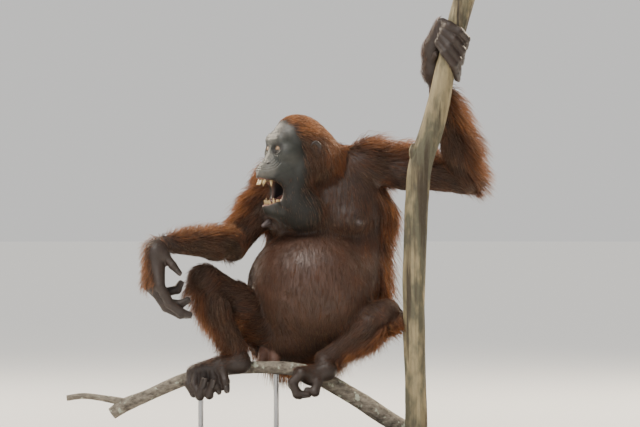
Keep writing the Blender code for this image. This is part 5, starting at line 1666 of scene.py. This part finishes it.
def strands(roots, normals, stops, loose, rng):
    """The middle line of each tuft: it leaves the skin, bends over to the lie of the coat and sags."""
    lie, length, rise, warmth_and_glow, dense = combing(roots, normals)
    length = length * rng.uniform(0.72, 1.18, len(roots))
    lie = unit(lie + rng.normal(0, 0.10, lie.shape))
    rise = rise * rng.uniform(0.55, 1.35, len(roots)) * np.where(loose, 1.5, 1.0)
    path = [roots - normals * 0.0025]
    here, before = roots.copy(), 0.0
    clear = rng.uniform(0.0010, 0.0100, len(roots)) * np.clip(length / 0.05, 0.25, 1.2)
    for index, stop in enumerate(stops):
        far, slope = way_out(here, fine=False, step=0.002)
        out = unit(slope)
        flat = unit(lie - out * (lie * out).sum(1)[:, None])
        free = smooth_step(0.010, 0.045, far)[:, None]
        flat = unit(flat * (1 - free) + lie * free)
        tilt = np.minimum(rise, 1.35) * (1.0, 0.86, 0.66)[index]
        way = flat * np.cos(tilt)[:, None] + out * np.sin(tilt)[:, None]
        way = unit(way + DOWN * (0.10 + 0.35 * stop) * free)
        here = here + way * (length * (stop - before))[:, None]
        for _ in range(2):
            far, slope = way_out(here, fine=False, step=0.002)
            need = clear * stop
            steep = np.maximum((slope * slope).sum(1), 0.25)
            here = here + slope * (np.maximum(need - far, 0) / steep)[:, None]
        path.append(here)
        before = stop
    return np.stack(path, 1), length, warmth_and_glow


def clumped(paths, shares, size, strength, loose, rng):
    """Draws the tips of neighbouring tufts together into locks."""
    roots = paths[:, 0]
    guides = rng.permutation(len(roots))[: max(1, len(roots) // size)]
    tree = KDTree(len(guides))
    for index, guide in enumerate(guides):
        tree.insert(roots[guide], index)
    tree.balance()
    lead = guides[np.array([tree.find(root)[1] for root in roots])]
    pull = (
        strength * rng.uniform(0.4, 1.0, len(roots))[:, None] * np.array(shares) ** 1.3
        * np.where(loose, 0.15, 1.0)[:, None]
    )
    near_lead = np.exp(-np.sqrt(((roots - roots[lead]) ** 2).sum(1)) / 0.030)
    return paths + (paths[lead] - paths) * (pull * near_lead[:, None])[..., None]


def hair_mesh(name, paths, normals, widths, colours, patches, swell):
    """Three-sided tapering tufts round the given lines, closed at both ends."""
    count, stops = paths.shape[:2]
    rings = stops - 1
    ahead = unit(np.gradient(paths, axis=1))
    side = unit(np.cross(normals[:, None], ahead))
    up = np.cross(ahead, side)
    rng = np.random.default_rng(len(name) * 7 + count)
    roll = rng.uniform(-0.9, 0.9, count)[:, None, None]
    side, up = side * np.cos(roll) + up * np.sin(roll), up * np.cos(roll) - side * np.sin(roll)
    half = (widths[:, None] * np.array(swell))[..., None] / 2
    body = np.stack((paths[:, :rings] - side[:, :rings] * half - up[:, :rings] * half * 0.3,
                     paths[:, :rings] + side[:, :rings] * half - up[:, :rings] * half * 0.3,
                     paths[:, :rings] + up[:, :rings] * half * 0.75), 2)
    verts = np.concatenate((body.reshape(count, -1, 3), paths[:, -1:]), 1)
    each = rings * 3 + 1
    loops, starts, at = [2, 1, 0], [0], 3
    for ring in range(rings - 1):
        for k in range(3):
            a, b = ring * 3 + k, ring * 3 + (k + 1) % 3
            loops += [a, b, b + 3, a + 3]
            starts.append(at)
            at += 4
    for k in range(3):
        loops += [(rings - 1) * 3 + k, (rings - 1) * 3 + (k + 1) % 3, each - 1]
        starts.append(at)
        at += 3
    loops, starts = np.array(loops), np.array(starts)
    mesh = bpy.data.meshes.new(name)
    mesh.vertices.add(count * each)
    mesh.vertices.foreach_set("co", verts.astype(np.float32).ravel())
    all_loops = (loops[None] + np.arange(count)[:, None] * each).astype(np.int32).ravel()
    mesh.loops.add(len(all_loops))
    mesh.loops.foreach_set("vertex_index", all_loops)
    all_starts = (starts[None] + np.arange(count)[:, None] * at).astype(np.int32).ravel()
    mesh.polygons.add(len(all_starts))
    mesh.polygons.foreach_set("loop_start", all_starts)
    mesh.update(calc_edges=True)
    shade = np.concatenate((np.repeat(colours[:, :rings], 3, axis=1), colours[:, -1:]), 1)
    painted(mesh, shade.reshape(-1, 3))
    lane = np.append(np.tile((0.0, 0.5, 1.0), rings), 0.5)
    step = np.append(np.repeat(np.arange(rings), 3), rings) / rings
    place = patches[:, None] + (np.stack((lane, step), 1) - 0.5)[None] * 0.003
    layer = mesh.uv_layers.new(name="OFBake")
    layer.uv.foreach_set("vector", place.reshape(-1, 2)[all_loops].astype(np.float32).ravel())
    return mesh


def unwrapped(points, line, front):
    """Where each point falls on a sheet rolled round a limb's line: turn about it and share along it."""
    line = np.array(line, float)
    best = np.full(len(points), 1e9)
    out = np.zeros((len(points), 2))
    runs = np.sqrt((np.diff(line, axis=0) ** 2).sum(1))
    marks = np.concatenate(((0.0,), np.cumsum(runs)))
    for index, (a, b) in enumerate(zip(line, line[1:])):
        ahead = unit(b - a)
        t = (points - a) @ ahead
        off = points - a - np.clip(t, 0, runs[index])[:, None] * ahead
        gap = (off * off).sum(1)
        near = gap < best
        x = unit(np.array(front, float) - ahead * (np.array(front, float) @ ahead))
        y = np.cross(ahead, x)
        turn = np.arctan2(off @ y, off @ x) / (2 * math.pi) + 0.5
        share = (marks[index] + np.clip(t, -0.06, runs[index] + 0.06) + 0.06) / (marks[-1] + 0.12)
        out[near] = np.stack((turn, share), 1)[near]
        best = np.where(near, gap, best)
    return 0.01 + 0.98 * np.clip(out, 0, 1)


def nearest_groups(points):
    """The group each point belongs to most."""
    names = [name for name, (kind, forms, blend) in GROUPS.items() if kind != "digit"]
    best, which = np.full(len(points), 1.0), np.zeros(len(points), int)
    for index, name in enumerate(names):
        kind, forms, blend = GROUPS[name]
        close = np.flatnonzero(close_to(name, points, 0.03))
        far = depth_outside(forms, points[close])
        better = far < best[close]
        best[close[better]] = far[better]
        which[close[better]] = index
    return np.array(names)[which]


def front_of_torso(normals):
    return normals @ between(CHEST.forward, BELLY.forward, 0.5) > 0.10


HAIR_SHEEN = {
    "Specular IOR Level": 0.45,
    "Sheen Weight": 0.25,
    "Sheen Roughness": 0.4,
    "Sheen Tint": (1.0, 0.75, 0.5, 1.0),
}
hair_finish = painted_finish(
    "hair", (60.0, 900.0, (1, 1, 0.3)), "Patches", 0.22, (0.38, 0.60), None, HAIR_SHEEN
)

UPRIGHT = ((-0.095, 0.055, 0.25), (-0.060, 0.050, 0.50), (-0.025, 0.065, 0.90))
LONG, SHORT = (0.3, 0.65, 1.0), (0.5, 1.0)
ARM_LINE = {side: (SHOULDER[side], ELBOW[side], WRIST[side]) for side in ("left", "right")}
LEG_LINE = {side: (HIP[side], KNEE[side], ANKLE[side]) for side in ("left", "right")}
HEAD_LINE = (HEAD(0, 0, -0.20), HEAD(0, 0, 0.02), HEAD(0, 0, 0.10))
HANDS_AND_FEET = ("hand_left", "hand_right", "foot_left", "foot_right")
# Each piece of coat: its groups, how many tufts, tuft width, shares along a tuft, tufts to a lock, how
# tightly their tips meet, the line it is unrolled from, and the side where the sheet's middle lies.
COAT_PIECES = {
    "coat_arm_left": (
        ("upper_arm_left", "forearm_left"), 11800, 0.0017, LONG, 12, 0.42, ARM_LINE["left"], (0, -1, 0.3)
    ),
    "coat_arm_right": (
        ("upper_arm_right", "forearm_right"), 11800, 0.0017, LONG, 12, 0.42, ARM_LINE["right"],
        (0.3, -1, 0.3),
    ),
    "coat_leg_left": (
        ("thigh_left", "shin_left"), 9800, 0.0016, LONG, 12, 0.50, LEG_LINE["left"], (0, -1, 0.2)
    ),
    "coat_leg_right": (
        ("thigh_right", "shin_right"), 9800, 0.0016, LONG, 12, 0.50, LEG_LINE["right"], (0.5, -1, 0.2)
    ),
    "coat_back_high": (("torso",), 11800, 0.0023, LONG, 16, 0.80, UPRIGHT, (0, -1, 0)),
    "coat_back_low": (("torso",), 11800, 0.0023, LONG, 16, 0.80, UPRIGHT, (0, -1, 0)),
    "coat_belly": (("torso",), 15000, 0.0010, SHORT, 9, 0.15, UPRIGHT, (0, -1, 0)),
    "coat_head": (("head",), 12000, 0.0016, LONG, 11, 0.60, HEAD_LINE, HEAD.forward),
    "coat_hands_feet": (HANDS_AND_FEET, 5200, 0.0011, SHORT, 8, 0.40, None, None),
}
UPPER_COAT = 0.640
LOOSE_SHARE = 0.25


def wanted_roots(name, groups):
    def test(points, normals):
        mine = np.isin(nearest_groups(points), groups)
        if groups == ("torso",):
            front = front_of_torso(normals)
            upper = points[:, 2] > UPPER_COAT
            mine &= {
                "coat_belly": front, "coat_back_high": ~front & upper, "coat_back_low": ~front & ~upper
            }[name]
        return mine
    return test


for index, (
    name, (groups, count, width, shares, lock, pull, line, front)
) in enumerate(COAT_PIECES.items()):
    rng = np.random.default_rng(100 + index)
    roots, normals = roots_on(skin_mesh, count, wanted_roots(name, groups), rng)
    loose = rng.random(count) < LOOSE_SHARE
    paths, length, warmth_and_glow = strands(roots, normals, shares, loose, rng)
    stops = (0.0, *shares)
    paths = clumped(paths, stops, lock, pull, loose, rng)
    widths = (
        width * rng.uniform(0.65, 1.35, count) * np.clip(length / 0.05, 0.55, 1.25)
        * np.where(loose, 0.55, 1.0)
    )
    # Tips run warm from brown through red to orange and lighter than the roots: partly the coat's own
    # colour, partly a painted glow.
    tone = np.clip(warmth_and_glow + rng.normal(0, 0.13, count) + 0.16 * ripple(roots, 0.06, 61), 0, 1)[:, None]
    low = between(HAIR_DARK, HAIR_RED, 0.05 + 0.30 * tone)
    tip = np.where(
        tone < 0.5, between(HAIR_BROWN, HAIR_RED, tone * 2), between(HAIR_RED, HAIR_ORANGE, tone * 2 - 1)
    )
    # One tuft in ten has its tip greyed halfway by painted sheen.
    sheen_paint = (rng.random(count) < 0.10)[:, None] * 0.5
    tip = tip * (1 - sheen_paint) + np.array(HAIR_SHEEN_PAINT) * sheen_paint
    light = rng.uniform(0.75, 1.25, count)[:, None, None]
    rise = (np.array(stops) ** 1.1)[None, :, None]
    colours = (low[:, None] * (1 - rise) + tip[:, None] * rise) * light
    if line is None:
        patches = np.zeros((count, 2))
        which = nearest_groups(roots)
        for quarter, group in enumerate(groups):
            mine = which == group
            part, side = group.split("_")
            limb = {"hand": WRIST, "foot": ANKLE}[part][side]
            end = BOXES[group][0] * 0.5 + BOXES[group][1] * 0.5
            sheet = unwrapped(roots[mine], (limb, between(limb, end, 2.0)), (0.2, -1, 0.1))
            patches[mine] = sheet * 0.48 + (0.01 + 0.5 * (quarter % 2), 0.01 + 0.5 * (quarter // 2))
    else:
        patches = unwrapped(roots, line, front)
    swell = (0.85, 1.0, 0.62) if len(shares) == 3 else (0.9, 0.8)
    coat = shown(name, hair_mesh(name, paths, normals, widths, colours, patches, swell), hair_finish)
